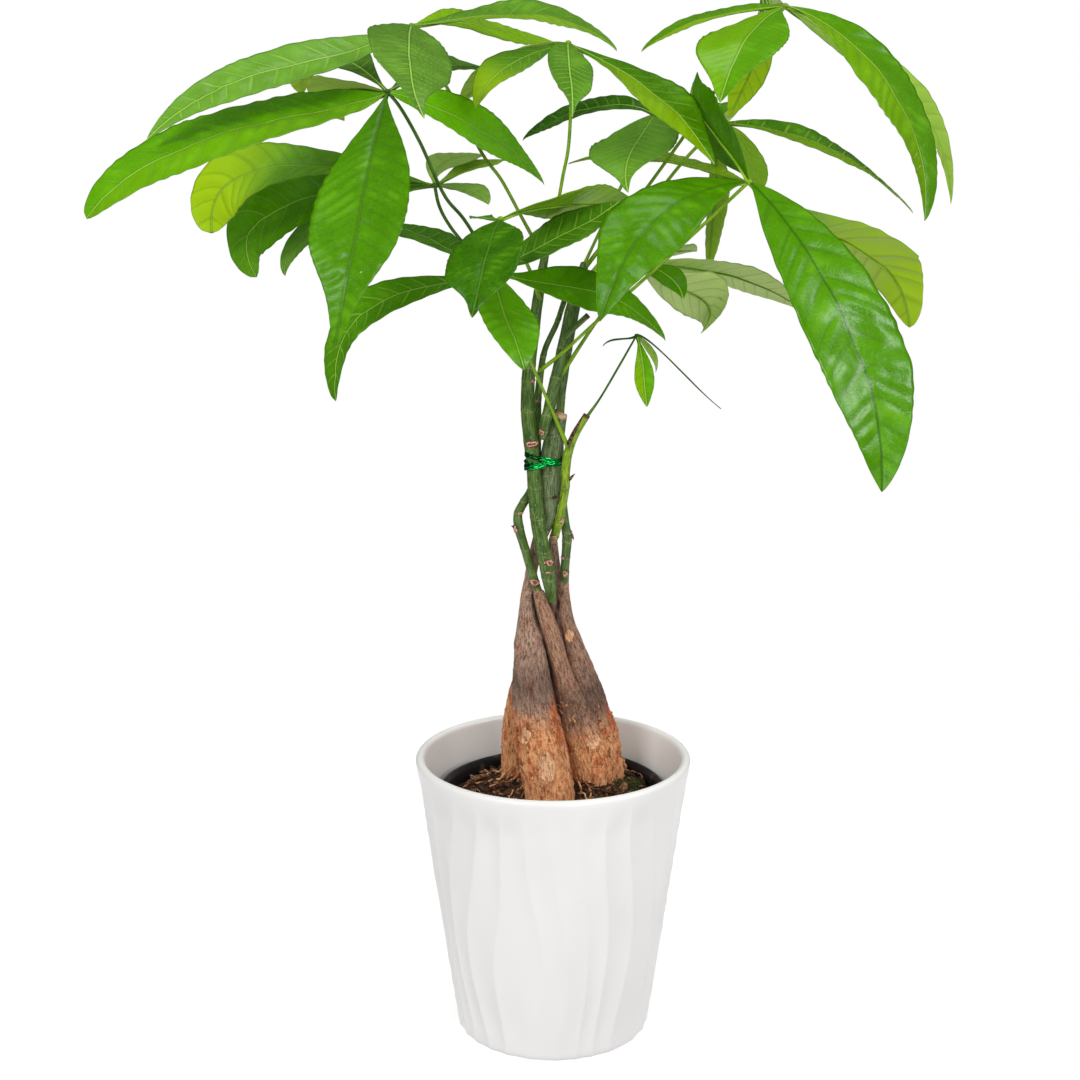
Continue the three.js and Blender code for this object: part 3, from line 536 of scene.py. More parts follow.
def stem_skin():
    """Green stems: streaked skin with pale corky specks, pale growth rings, and pink-tan leaf scars."""
    finish = Finish("stem_skin", 0.4, 0.42)
    skin = finish.layer("skin")[3]
    ring, scar, tone, _ = finish.layer("mark")
    brown, end, dried, _ = finish.layer("bark")
    streak = finish.step(finish.grain(skin, 20.0, 4.0, 0.56, along=0.12), 0.22, 0.76)
    patch = finish.grain(skin, 3.4, 3.0, along=0.35)
    fleck = finish.grain(skin, 34.0, 3.0)
    speck = finish.step(finish.cells(finish.stretch(skin, (1, 1, 0.4)), 10.0), 0.16, 0.08)
    dull = finish.mix(streak, (46, 72, 30), (146, 160, 116))
    fresh = finish.mix(streak, (28, 66, 0), (94, 136, 6))
    young = finish.mix(streak, (76, 118, 0), (170, 202, 34))
    thin_ring = finish.math("MULTIPLY", finish.step(ring, 0.5, 0.9), finish.step(fleck, 0.4, 0.6))
    tan = finish.mix(finish.step(fleck, 0.34, 0.62), (132, 70, 50), (246, 200, 166))
    centre = finish.math("MULTIPLY", finish.step(scar, 0.7, 0.84), finish.step(fleck, 0.3, 0.46))
    finish.colour(finish.coats(
        finish.mix(tone, dull, finish.mix(finish.step(tone, 0.8, 1.0), fresh, young)),
        (finish.step(patch, 0.44, 0.74), 1, (52, 84, 22)),
        (finish.step(patch, 0.42, 0.3), 0.22, (124, 146, 82)),
        (speck, 0.65, (206, 214, 176)),
        (thin_ring, 0.55, (190, 176, 120)),
        (finish.step(scar, 0.32, 0.4), 1, (74, 44, 32)),
        (finish.step(scar, 0.46, 0.56), 1, tan),
        (centre, 1, (132, 58, 42)),
        (end, 1, tan),
        (dried, 1, finish.mix(fleck, (40, 26, 22), (120, 76, 54))),
        (brown, 1, finish.mix(streak, (104, 68, 52), (206, 160, 130))),
    ))
    finish.rough(finish.math("MULTIPLY_ADD", brown, 0.3, 0.42))
    finish.bump(finish.math("ADD", streak, speck), 0.12, 0.6)
    return finish.material


def bud_skin():
    """Dry buds and thorns: dark brown, paler where they are worn."""
    finish = Finish("bud_skin", 0.7, 0.3)
    worn = finish.grain(finish.place(), 900.0, 3.0)
    finish.colour(finish.mix(finish.step(worn, 0.4, 0.75), (44, 28, 24), (150, 104, 80)))
    return finish.material


def bark_skin():
    """Trunk bark: grey-brown with short dashes above, flaking orange-tan at the foot, healed wounds."""
    finish = Finish("bark_skin", 0.8, 0.3)
    skin = finish.layer("skin")[3]
    fissure, wound, rust, _ = finish.layer("mark")
    foot, warmth, deep, _ = finish.layer("bark")
    painted_shade = finish.layer("shade")[1]
    streak = finish.grain(skin, 13.0, 6.0, 0.62, along=0.2)
    fibre = finish.grain(skin, 34.0, 4.0, 0.62, along=0.22)
    wrinkle = finish.grain(finish.stretch(skin, (0.35, 0.35, 1)), 22.0, 3.0)
    patch = finish.grain(skin, 2.6, 3.0, along=0.5)
    both = finish.math("ADD", streak, finish.swing(fibre, 0.6))
    both = finish.math("ADD", both, finish.swing(wrinkle, 0.4))
    dash = finish.step(both, 0.22, 0.72)
    smooth = finish.step(finish.grain(skin, 3.2, 1.0), 0.5, 0.6)

    def dashed(dark, light):
        return finish.mix(dash, dark, light)

    upper = finish.coats(
        dashed((92, 72, 64), (204, 174, 156)),
        (warmth, 1, dashed((92, 60, 44), (208, 156, 122))),
        (finish.step(patch, 0.52, 0.72), 1, dashed((100, 58, 42), (192, 134, 104))),
        (deep, 1, dashed((50, 36, 33), (116, 90, 78))),
    )
    lower = finish.coats(
        dashed((156, 68, 30), (255, 192, 134)),
        (smooth, 0.35, (246, 176, 122)),
        (finish.step(patch, 0.5, 0.66), 1, dashed((128, 48, 20), (232, 134, 82))),
    )
    cracks_and_shade = finish.math("MULTIPLY", finish.step(fissure, 0.5, 1.1), 0.3)
    # painted shade: the bark is darkened where another trunk crowds it, as well as in its cracks
    cracks_and_shade = finish.math("MAXIMUM", cracks_and_shade, finish.math("MULTIPLY", painted_shade, 0.85))
    edge = finish.math("ADD", wound, finish.swing(streak, 0.24))
    healed = finish.mix(finish.step(both, 0.3, 0.66), (186, 108, 66), (252, 208, 162))
    finish.colour(finish.coats(
        upper,
        (foot, 1, lower),
        (rust, 1, dashed((112, 40, 16), (236, 138, 86))),
        (cracks_and_shade, 1, finish.mix(foot, (36, 24, 20), (84, 34, 14))),
        (finish.step(edge, 0.38, 0.46), 0.45, (136, 74, 44)),
        (finish.step(edge, 0.47, 0.56), 1, healed),
    ))
    finish.bump(finish.math("ADD", streak, finish.math("MULTIPLY", fibre, 0.8)), 0.8, 0.9)
    return finish.material


def flake_skin():
    """Loose bark flakes and roots: orange-tan fibre with dark streaks."""
    finish = Finish("flake_skin", 0.85, 0.25)
    skin = finish.place()
    fibre = finish.grain(skin, 420.0, 4.0)
    patch = finish.grain(skin, 90.0, 2.0)
    tan = finish.mix(finish.step(fibre, 0.35, 0.65), (142, 84, 46), (226, 176, 128))
    finish.colour(finish.mix(finish.step(patch, 0.5, 0.68), tan, (172, 92, 54)))
    return finish.material


def soil_crumb():
    """Damp compost: near black hollows, brown crumbs, a few tan fibres."""
    finish = Finish("soil_crumb", 0.95, 0.2)
    place = finish.place()
    crumb = finish.grain(place, 480.0, 5.0, 0.65)
    clump = finish.grain(place, 110.0, 3.0)
    brown = finish.mix(finish.step(crumb, 0.38, 0.66), (28, 18, 12), (104, 70, 48))
    brown = finish.mix(finish.step(clump, 0.4, 0.62), brown, (48, 32, 22))
    speck = finish.step(finish.cells(place, 330.0), 0.16, 0.1)
    finish.colour(finish.coats(brown, (speck, 0.7, (158, 120, 86))))
    finish.bump(crumb, 1.0, 0.9)
    return finish.material


def chip_bark():
    """Bark chips on the soil, each with its own shade of brown."""
    finish = Finish("chip_bark", 0.85, 0.25)
    shade = finish.layer("shade")[0]
    fibre = finish.grain(finish.place(), 600.0, 4.0)
    dark = finish.mix(shade, (40, 26, 18), (128, 88, 60))
    light = finish.mix(shade, (84, 58, 40), (206, 158, 116))
    finish.colour(finish.mix(finish.step(fibre, 0.35, 0.7), dark, light))
    return finish.material


def moss_green():
    """Moss tufts: dull dark green with lighter tips."""
    finish = Finish("moss_green", 0.8, 0.3)
    shade = finish.layer("shade")[0]
    finish.colour(finish.mix(shade, (26, 42, 14), (82, 104, 38)))
    return finish.material


PIT = ((36.4, 40.6, 119.6), (0.7, 1.2, 1.7))   # a small dark mark inside the cover pot: middle, half sizes


def pot_glaze():
    """White satin glaze: nearly even, with faint warm and cool patches and a soft orange-peel."""
    finish = Finish("pot_glaze", 0.32, 0.42)
    place = finish.place()
    cloud = finish.grain(place, 16.0, 2.0)
    glaze = finish.mix(finish.step(cloud, 0.35, 0.7), (243, 242, 240), (238, 236, 235))
    middle, half = PIT
    near = finish.distance(
        finish.stretch(place, tuple(1 / (h * MM) for h in half)),
        tuple(m / h for m, h in zip(middle, half)),
    )
    glaze = finish.mix(finish.step(near, 1.0, 0.6), glaze, (72, 66, 62))
    finish.colour(glaze)
    finish.rough(finish.math("MULTIPLY_ADD", cloud, 0.12, 0.26))
    finish.bump(finish.grain(place, 70.0, 2.0), 0.25, 0.4)
    return finish.material


def nursery_plastic():
    """Black moulded plastic with a dusting of soil."""
    finish = Finish("nursery_plastic", 0.42, 0.45)
    dust = finish.grain(finish.place(), 160.0, 4.0)
    finish.colour(finish.mix(finish.step(dust, 0.56, 0.74), (24, 25, 28), (84, 72, 62)))
    finish.rough(finish.math("MULTIPLY_ADD", dust, 0.4, 0.22))
    return finish.material


def tie_foil():
    """Green metallic foil, crinkled."""
    finish = Finish("tie_foil", 0.16, 0.5)
    crinkle = finish.grain(finish.place(), 150.0, 1.0)
    finish.colour(finish.mix(finish.step(crinkle, 0.4, 0.66), (0, 78, 30), (6, 168, 72)))
    finish.shader.inputs["Metallic"].default_value = 0.85
    finish.bump(crinkle, 0.14, 0.4)
    return finish.material


def pale_floor():
    """The lit white sweep that the pot stands on, with a faint sheen."""
    finish = Finish("pale_floor", 0.2, 0.3)
    finish.colour(SWEEP_COLOUR)
    finish.shader.inputs["Emission Color"].default_value = WHITE
    finish.shader.inputs["Emission Strength"].default_value = SWEEP_GLOW
    return finish.material


# Meshes

LAST_PLACE = 0.99999   # keeps a place on a curve's last leg
LENGTH_STEPS = 400     # points that a limb's length is measured over
LEAST_RINGS = 4
TANGENT_STEP = 0.004   # share of a limb, ahead and back, that its direction is taken over
OFF_AXIS = Vector((0.3, 1, 0.1))    # no limb starts along this
SEAM = 1e-4            # points of a rolled grid closer than this are merged
DOME_STEPS = (20, 40, 60, 78)
DOME_REACH = 0.8       # how far a rounded end stands out, as a share of its radius
CENTIMETRE = 10


def add_object(name, data):
    """A new object of the scene, at the origin."""
    made = bpy.data.objects.new(name, data)
    bpy.context.scene.collection.objects.link(made)
    return made


def mesh_of(name, form, materials):
    mesh = bpy.data.meshes.new(name)
    form.to_mesh(mesh)
    form.free()
    for material in materials:
        mesh.materials.append(material)
    return mesh


def add_piece(name, form, materials, replaced=(), level=PLANT_LEVEL):
    """Turns a bmesh drawn in millimetres into a finished piece that rides on the plant's one body."""
    bmesh.ops.translate(form, vec=(0, 0, level), verts=form.verts)
    bmesh.ops.scale(form, vec=(MM, MM, MM), verts=form.verts)
    piece = add_object(name, mesh_of(name, form, materials))
    piece.data.shade_smooth()
    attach(piece, "root")
    if replaced:
        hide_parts(*replaced)


def route_point(stops, share):
    """A point and width along a centripetal curve through the stops, at a share of their count."""
    place = min(max(share, 0.0), LAST_PLACE) * (len(stops) - 1)
    low = int(place)
    w = place - low
    b, c = stops[low], stops[low + 1]
    a = stops[low - 1] if low > 0 else 2 * b - c
    d = stops[low + 2] if low + 2 < len(stops) else 2 * c - b
    ab, bc, cd = ((q - p).xyz.length ** 0.5 for p, q in ((a, b), (b, c), (c, d)))
    leave = ((b - a) / ab - (c - a) / (ab + bc) + (c - b) / bc) * bc
    reach = ((c - b) / bc - (d - b) / (bc + cd) + (d - c) / cd) * bc
    return b + leave * w + (3 * (c - b) - 2 * leave - reach) * w * w + (2 * (b - c) + leave + reach) * w ** 3


def limb_rings(stops, pitch, round_start=False, round_end=True):
    """Rings of a limb, from its foot to its end: centre, radius, side, front, tangent, length so far."""
    stops = [Vector(stop) for stop in stops]
    rough = [route_point(stops, i / LENGTH_STEPS) for i in range(LENGTH_STEPS + 1)]
    total = sum((q - p).xyz.length for p, q in zip(rough, rough[1:]))
    count = max(LEAST_RINGS, round(total / pitch))
    rings = []
    side = None
    run = 0.0
    for i in range(count + 1):
        share = i / count
        here = route_point(stops, share)
        ahead, behind = route_point(stops, share + TANGENT_STEP), route_point(stops, share - TANGENT_STEP)
        tangent = (ahead - behind).xyz.normalized()
        if side is None:
            side = tangent.cross(OFF_AXIS)
        side = (side - tangent * side.dot(tangent)).normalized()
        if rings:
            run += (here.xyz - rings[-1][0]).length
        rings.append((here.xyz, here.w / 2, side.copy(), tangent.cross(side), tangent, run))
    if round_start:
        rings = dome(rings[0], -1)[::-1] + rings
    if round_end:
        rings = rings + dome(rings[-1], 1)
    return rings


def dome(ring, way):
    """Rings that round off the end of a limb."""
    centre, radius, side, front, tangent, run = ring
    rings = []
    for degrees in DOME_STEPS:
        rise = way * radius * math.sin(math.radians(degrees))
        wide = radius * math.cos(math.radians(degrees))
        rings.append((centre + tangent * rise * DOME_REACH, wide, side, front, tangent, run + rise))
    return rings


def turned(angle, radius, height):
    """A point at an angle round Z, this far out and this high."""
    return Vector((math.cos(angle) * radius, math.sin(angle) * radius, height))


def faces_round(verts):
    """The faces round some points, each once and in the same order each run, which a set wouldn't keep."""
    return list(dict.fromkeys(face for vert in verts for face in vert.link_faces))


def point_layer(form, name):
    return form.verts.layers.float_vector[name]


def rolled_grid(form, columns, rows):
    """A grid that is to be rolled up: each point with its angle round the roll and its row."""
    made = bmesh.ops.create_grid(form, x_segments=columns, y_segments=rows, size=1)
    return [(vert, (vert.co.x + 1) * math.pi, round((vert.co.y + 1) / 2 * rows)) for vert in made["verts"]]


def limb_place(ring, turn):
    """The way out of a limb at an angle round it, and the place there in the skin's own centimetres."""
    _, radius, side, front, _, run = ring
    return side * math.cos(turn) + front * math.sin(turn), turned(turn, radius / CENTIMETRE, run / CENTIMETRE)


def roll_limb(form, rings, sides, relief=None, marks=None, material=0, green=0.0):
    """Rolls a grid round the rings into a closed limb.

    relief(skin, place, outward, radius) gives how far the skin stands out there. marks gives the values
    of the mesh attributes mark and bark there, and how dark the shade painted on it there is. green is
    how bright a green the limb has.
    """
    shade_layer, skin_layer, mark_layer, bark_layer = (
        point_layer(form, layer) for layer in ("shade", "skin", "mark", "bark")
    )
    grid = rolled_grid(form, sides, len(rings) - 1)
    for vert, turn, row in grid:
        centre, radius = rings[row][:2]
        outward, skin = limb_place(rings[row], turn)
        vert[skin_layer] = skin
        vert[shade_layer] = (green, 0.0, 0.0)
        plain = centre + outward * radius
        stand = relief(skin, plain, outward, radius) if relief else 0.0
        vert.co = plain + outward * stand
        if marks:
            vert[mark_layer], vert[bark_layer], painted_shade = marks(skin, plain, outward, radius)
            vert[shade_layer] = (green, painted_shade, 0.0)
    close_roll(form, grid, material)


def close_roll(form, grid, material=0):
    """Merges the seam of a rolled grid, fills its ends and points its faces outwards."""
    verts = [vert for vert, _, _ in grid]
    bmesh.ops.remove_doubles(form, verts=verts, dist=SEAM)
    verts = [vert for vert in verts if vert.is_valid]
    faces = faces_round(verts)
    edges = dict.fromkeys(edge for vert in verts for edge in vert.link_edges if edge.is_boundary)
    faces += bmesh.ops.holes_fill(form, edges=list(edges), sides=0)["faces"]
    bmesh.ops.recalc_face_normals(form, faces=faces)
    for face in faces:
        face.material_index = material


def new_form():
    """An empty bmesh with the attributes that the finishes read."""
    form = bmesh.new()
    for name in ("skin", "mark", "bark", "blade", "shade"):
        form.verts.layers.float_vector.new(name)
    form.loops.layers.float_vector.new("vein")
    return form


def fbm(point, octaves=3):
    """Layered noise, about -1 to 1."""
    total, size = 0.0, 1.0
    for _ in range(octaves):
        total += noise.noise(point) * size
        point = point * 2.03
        size *= 0.5
    return total


def smooth_step(low, high, value):
    share = min(1.0, max(0.0, (value - low) / (high - low)))
    return share * share * (3 - 2 * share)


def bell(off, width):
    """1 in the middle of a bell curve, falling off to both sides."""
    return math.exp(-((off / width) ** 2))


def stretched(skin, across, along, shift=0.0):
    """A place on a skin scaled for noise: across the limb and along it, and shifted along."""
    return Vector((skin.x * across, skin.y * across, skin.z * along + shift))


# Trunks

LEANS = {              # the way a trunk swells against its neighbour, how far, and between which heights
    "trunk_front_right": (Vector((0.98, 0.17, 0)), 5.5, 182, 140),
    "trunk_back_right": (Vector((-0.45, -0.89, 0)), 3.5, 186, 156),
}
RIDGED = "trunk_front_left"    # this trunk has a ridge across it, at this height
RIDGE_AT = 189
TRUNK_SIDES = 96
TRUNK_PITCH = 0.8
FLAKES_FROM = 112
FLAKES_BELOW = 158
FLAKES_PER_MM = 0.2    # by the radius of each ring
FLAKE_SHAPE = ((1.2, 4), (0.3, 1.1), (0.1, 1.3), (-0.5, 0.5))    # its length, breadth, lift and lean
FLAKE_THICK = 0.22
FAR_APART = 100.0
PAINTED_SHADE_GAP = 2.6          # how close another trunk is where the painted shade begins


def bark_fissure(skin, seed):
    """How deep the bark is cracked at a place, 0 to 1: short narrow cracks along the trunk."""
    ridge = abs(noise.noise(stretched(skin, 8, 1.9, seed)))
    fine = abs(noise.noise(Vector((skin.x * 17 + 3, skin.y * 17, skin.z * 5 + seed))))
    return max(0.0, 1 - ridge * 8) * 0.7 + max(0.0, 1 - fine * 6) * 0.45


def near_patch(place, patches):
    """How far a place is from the middle of the nearest patch, where 1 is its edge."""
    shares = []
    for middle, wide, tall in patches:
        gap = place - Vector(middle)
        shares.append(math.hypot(gap.x / wide, gap.y / (wide * 1.5), gap.z / tall))
    return min(shares)


def trunk_gap(name, place):
    """How far a place on one trunk is from the skin of the nearest other trunk."""
    gap = FAR_APART
    for other, stops in TRUNKS.items():
        for low, high in zip(stops, stops[1:]):
            if other != name and low[2] <= place.z < high[2]:
                share = (place.z - low[2]) / (high[2] - low[2])
                x, y, _, wide = Vector(low).lerp(Vector(high), share)
                gap = min(gap, math.hypot(place.x - x, place.y - y) - wide / 2)
    return gap


def make_trunk(name, stops, bark, flake):
    """A trunk's bark: lumps, cracks, wounds and rust-red patches, and loose flakes at its foot."""
    seed = len(name) * 1.7
    warm, deep = BARK_TONE[name]
    top, full = FOOT_ZONE[name]
    rings = limb_rings(stops, TRUNK_PITCH)

    def foot_share(skin, place):
        wander = 5 * noise.noise(stretched(skin, 3, 1.2, seed))
        return smooth_step(top + wander, full + wander, place.z)

    def rust_share(skin, place):
        return smooth_step(1.1, 0.5, near_patch(place, RUST) + 0.7 * noise.noise(stretched(skin, 9, 4)))

    def relief(skin, place, outward, radius):
        foot = foot_share(skin, place)
        lumps = fbm(stretched(skin, 1.6, 0.6, seed), 3) * 0.9
        rough = fbm(stretched(skin, 11, 4, seed), 3) * (0.16 + 0.2 * foot)
        ridges = abs(noise.noise(stretched(skin, 5, 0.9, -seed))) * 0.9 * foot
        stand = min(1.0, radius / 8) * (lumps + rough + ridges - 0.5 * bark_fissure(skin, seed))
        stand += 0.9 * rust_share(skin, place) * fbm(stretched(skin, 13, 8), 2)
        if name in LEANS:
            way, far, start, end = LEANS[name]
            stand += far * max(0.0, outward.dot(way)) ** 1.5 * smooth_step(start, end, place.z)
        if name == RIDGED:
            stand += 0.7 * bell(place.z - RIDGE_AT - 2 * outward.x, 2.6)
        for wound in WOUNDS:
            near = near_patch(place, [wound])
            stand += 0.5 * bell(near - 1.05, 0.25) - 0.3 * smooth_step(1.0, 0.5, near)
        return stand

    def marks(skin, place, outward, radius):
        near = near_patch(place, WOUNDS) + 0.4 * noise.noise(skin * 4 + Vector((0, 0, 3)))
        mark = (bark_fissure(skin, seed), max(0.0, 1 - 0.5 * near), rust_share(skin, place))
        band = 0.65 * bell(place.z - top - 8, 11)
        # painted shade, darkest where another trunk's skin is nearest
        painted_shade = smooth_step(PAINTED_SHADE_GAP, 0.2, trunk_gap(name, place))
        return mark, (foot_share(skin, place), warm, min(1.0, deep + band)), painted_shade

    form = new_form()
    roll_limb(form, rings, TRUNK_SIDES, relief, marks)
    scatter_flakes(form, rings, seed, relief)
    add_piece(name + "_bark", form, [bark, flake], [name])


def scatter_flakes(form, rings, seed, relief):
    """Loose flakes of bark that curl off the foot of a trunk."""
    draw = random.Random(round(seed * 10))
    low = [ring for ring in rings if FLAKES_FROM < ring[0].z < FLAKES_BELOW]
    for _ in range(round(sum(ring[1] for ring in low) * FLAKES_PER_MM)):
        ring = draw.choice(low)
        centre, radius, tangent = ring[0], ring[1], ring[4]
        outward, skin = limb_place(ring, draw.uniform(0, 2 * math.pi))
        around = tangent.cross(outward)
        long, wide, lift, lean = (draw.uniform(*span) for span in FLAKE_SHAPE)
        foot = centre + outward * (radius + relief(skin, centre + outward * radius, outward, radius) - 0.15)
        way = 1 if draw.random() < 0.6 else -1
        made = bmesh.ops.create_grid(form, x_segments=1, y_segments=3, size=1)
        for vert in made["verts"]:
            up = (vert.co.y + 1) / 2
            across = vert.co.x * wide * (1 - 0.6 * up) + lean * up * long * 0.4
            vert.co = foot + tangent * way * up * long + around * across + outward * lift * up * up
        faces = faces_round(made["verts"])
        solid = bmesh.ops.solidify(form, geom=faces, thickness=FLAKE_THICK)
        faces += [item for item in solid["geom"] if isinstance(item, bmesh.types.BMFace)]
        for face in faces_round([vert for face in faces for vert in face.verts]):
            face.material_index = 1


# Stems

STEM_SIDES = 32
STEM_PITCH = 0.6
NODES_FROM = 8         # millimetres from a stem's foot to where its growth rings begin
NODES_TO = 4
NODES_APART = 16
NODES_ASTRAY = 4
RING_WIDTH = 0.5
BUD_SIDES = 10
BUD_PITCH = 0.4
FRESH_CUT = "stem_cut"
BLUNT = (FRESH_CUT, "stalk_stub", "stem_shoot")    # the other two have ends that are cut off and dried


def make_stem(name, stops, skin_finish, bud_finish):
    """A green stem with growth rings, leaf scars, buds and thorns."""
    seed = len(name) * 0.9 + stops[0][0]
    scars = SCARS.get(name, ())
    rings = limb_rings(stops, STEM_PITCH, round_start=True, round_end=name not in BLUNT)
    draw = random.Random(name)
    low, high = round(stops[0][2]) + NODES_FROM, round(stops[-1][2]) - NODES_TO
    nodes = [scar[0] for scar in scars]
    for height in range(low, high, NODES_APART):
        nodes.append(height + draw.uniform(-NODES_ASTRAY, NODES_ASTRAY))

    def ring_share(place, outward):
        """How strongly a place belongs to a growth ring."""
        wander = 0.5 * math.sin(math.atan2(outward.y, outward.x) * 2 + seed)
        return max((bell(place.z - node - wander, RING_WIDTH) for node in nodes), default=0.0)

    def scar_share(skin, place, outward, radius):
        """How deep a place lies in a leaf scar: 0 outside it, about 0.4 at its rim and 1 in its middle."""
        share = 0.0
        for height, facing, wide, tall in scars:
            around = math.atan2(outward.y, outward.x) - math.radians(facing)
            around = (around + math.pi) % (2 * math.pi) - math.pi
            off = math.hypot(around * radius / (wide / 2), (place.z - height) / (tall / 2))
            share = max(share, 1 - 0.62 * (off + 0.6 * noise.noise(skin * 9 + Vector((0, 0, seed)))))
        return min(1.0, share)

    def relief(skin, place, outward, radius):
        lumps = fbm(stretched(skin, 4, 1.3, seed), 2) * 0.13
        raised = 0.4 * smooth_step(0.3, 0.5, scar_share(skin, place, outward, radius))
        plump = STEM_PLUMP.get(name, 0.0) * min(1.0, radius / 2.4)
        return lumps + 0.14 * ring_share(place, outward) + raised + plump

    def marks(skin, place, outward, radius):
        edge = BROWN_BELOW.get(name, 0) + 3 * noise.noise(stretched(skin, 5, 0, seed))
        brown = smooth_step(edge + 0.8, edge - 0.8, place.z)
        at_end = name in BLUNT and (place - Vector(stops[-1][:3])).length < stops[-1][3] * 0.6
        cut = float(at_end and name == FRESH_CUT)
        dried = float(at_end and name != FRESH_CUT)
        scar = scar_share(skin, place, outward, radius)
        return (ring_share(place, outward), scar, STEM_TONE[name]), (brown, cut, dried), 0.0

    form = new_form()
    roll_limb(form, rings, STEM_SIDES, relief, marks)
    for foot, tip, wide in BUDS.get(name, ()):
        grow_bud(form, Vector(foot), Vector(tip), wide)
    add_piece(name + "_skin", form, [skin_finish, bud_finish], [name])


def grow_bud(form, foot, tip, wide):
    """A dry pointed bud with a bent tip."""
    middle = foot.lerp(tip, 0.5) + Vector((0, 0, 0.25))
    stops = [(*foot, wide), (*middle, wide * 0.7), (*tip, wide * 0.18)]
    roll_limb(form, limb_rings(stops, BUD_PITCH, round_start=True), BUD_SIDES, material=1)


# Leaves

ROW_PITCH = 1.2        # length of a blade's faces
LEAST_ROWS = 20
COLUMNS = ((16, 22), (5, 10), (0, 4))    # breadth that a blade is over, and its faces from side to side
RAGGED = 0.018         # how far a blade's margin wanders, as a share of its half breadth
MIDRIB_ENDS = 0.93
MIDRIB_STOPS = 20
MIDRIB_SIDES = 8
MIDRIB_PITCH = 2.5
STALK_SIDES = 12
STALK_PITCH = 1.6
DECIMETRE = 100        # the leaf finish reads lengths on a blade in these, and the others in centimetres
STALK_WIDTHS = {"leaf_young": (1.5, 1.0, 0.8)}
USUAL_STALK = (2.1, 1.5, 1.5)    # a stalk's breadth at its foot, along it and at its hub


def rib_point(points, t):
    """The cubic through four points at 0, 1/3, 2/3 and 1 of the way."""
    third, two = 1 / 3, 2 / 3
    return (
        points[0] * (-4.5 * (t - third) * (t - two) * (t - 1))
        + points[1] * (13.5 * t * (t - two) * (t - 1))
        + points[2] * (-13.5 * t * (t - third) * (t - 1))
        + points[3] * (4.5 * t * (t - third) * (t - two))
    )


def breadth_share(t, leaf):
    """A blade's breadth along its rib, as a share of its widest."""
    quarter = math.pi / 2
    widest = leaf["widest"]
    if t < widest:
        return math.sin(quarter * t / widest) ** leaf["base"]
    full = max(0.0, math.cos(quarter * (t - widest) / (1 - widest))) ** leaf["taper"]
    return full * (1 - leaf["point"] * 0.7 * smooth_step(0.62, 0.9, t))


def vein_phase(along, aside, side, seed, spacing):
    """Counts the side veins along a blade: a whole number lies on a vein."""
    lean = 0.5 + 0.12 * math.sin(seed * 3.1 + side)
    run = along - aside * lean - aside * aside * 0.011
    return run / spacing + 0.3 * math.sin(run * 0.16 + seed * 2 + side * 2) + (0.45 if side > 0 else 0)


def grow_blade(form, hub, leaf, green, seed):
    """A leaflet's blade: a thin folded sheet with quilted relief between its side veins."""
    blade_layer, shade_layer = point_layer(form, "blade"), point_layer(form, "shade")
    vein_layer = form.loops.layers.float_vector["vein"]
    points = [hub, leaf["first"], leaf["second"], leaf["tip"]]
    length = sum((b - a).length for a, b in zip(points, points[1:]))
    wide = leaf["wide"] * leaf["breadth"]
    rows = max(LEAST_ROWS, round(length / ROW_PITCH))
    columns = next(columns for width, columns in COLUMNS if wide > width)
    spacing = leaf["spacing"] or 3.4 + 0.045 * length
    quilt = (0.45 + 0.5 * smooth_step(50, 140, length)) * min(1.0, wide / 34)
    rib = rib_frames(points, rows, leaf)
    made = bmesh.ops.create_grid(form, x_segments=columns, y_segments=rows, size=1)
    for vert in made["verts"]:
        t, middle, across, normal, along = rib[round((vert.co.y + 1) / 2 * rows)]
        side = vert.co.x
        way = 1 if side > 0 else -1
        share = breadth_share(t, leaf)
        ragged = 1 + RAGGED * noise.noise(Vector((along * 0.07, way * 3 + seed, 0)))
        phase_edge = vein_phase(along, wide / 2 * share, way, seed, spacing)
        ragged += 0.005 * math.cos(2 * math.pi * phase_edge)
        half = max(STALKLET / 2 * (1 - t) * min(1, wide), wide / 2 * share * ragged, 0.12)
        off = side * half
        aside = abs(off)
        phase = vein_phase(along, aside, way, seed, spacing)
        swell = abs(math.sin(math.pi * phase)) ** 0.8
        calm = smooth_step(0.4, 4, aside) * (1 - abs(side) ** 4) * min(1, share * 1.4)
        height = side * side * half * FOLD
        height += side * side * WAVE * wide * share * math.sin(t * 7 + seed + side)
        height += quilt * calm * (swell - 0.5)
        height += side ** 4 * 0.007 * wide * share * math.sin(2 * math.pi * phase)
        height += blade_waver(leaf, t, along, off, side, seed)
        height -= 0.3 * bell(off, 0.8) * min(1, wide / 20)
        lit = 1.0 if leaf["lit"] == 0 else 0.1 + 0.9 * smooth_step(-0.12, 0.12, side * leaf["lit"])
        glow = leaf["glow"] * lit * smooth_step(leaf["glow_from"], leaf["glow_from"] + 0.4, t)
        vert.co = middle + across * off + normal * (height + BLADE / 2)
        vert[blade_layer] = (along / DECIMETRE, off / DECIMETRE, abs(side))
        vert[shade_layer] = (leaf["tone"], glow, leaf["wan"])
    faces = faces_round(made["verts"])
    for face in faces:
        way = 1 if sum(vert[blade_layer].y for vert in face.verts) > 0 else -1
        for loop in face.loops:
            along, off, _ = loop.vert[blade_layer]
            phase = vein_phase(along * DECIMETRE, abs(off) * DECIMETRE, way, seed, spacing)
            loop[vein_layer] = (phase, leaf["veins"], seed)
    solid = bmesh.ops.solidify(form, geom=faces, thickness=BLADE)
    under = [item for item in solid["geom"] if isinstance(item, bmesh.types.BMFace)]
    for vert in dict.fromkeys(vert for face in under for vert in face.verts):
        tone, glow, _ = vert[shade_layer]
        vert[shade_layer] = (tone, glow, leaf["back"])
    grow_midrib(form, rib, leaf, green, seed)


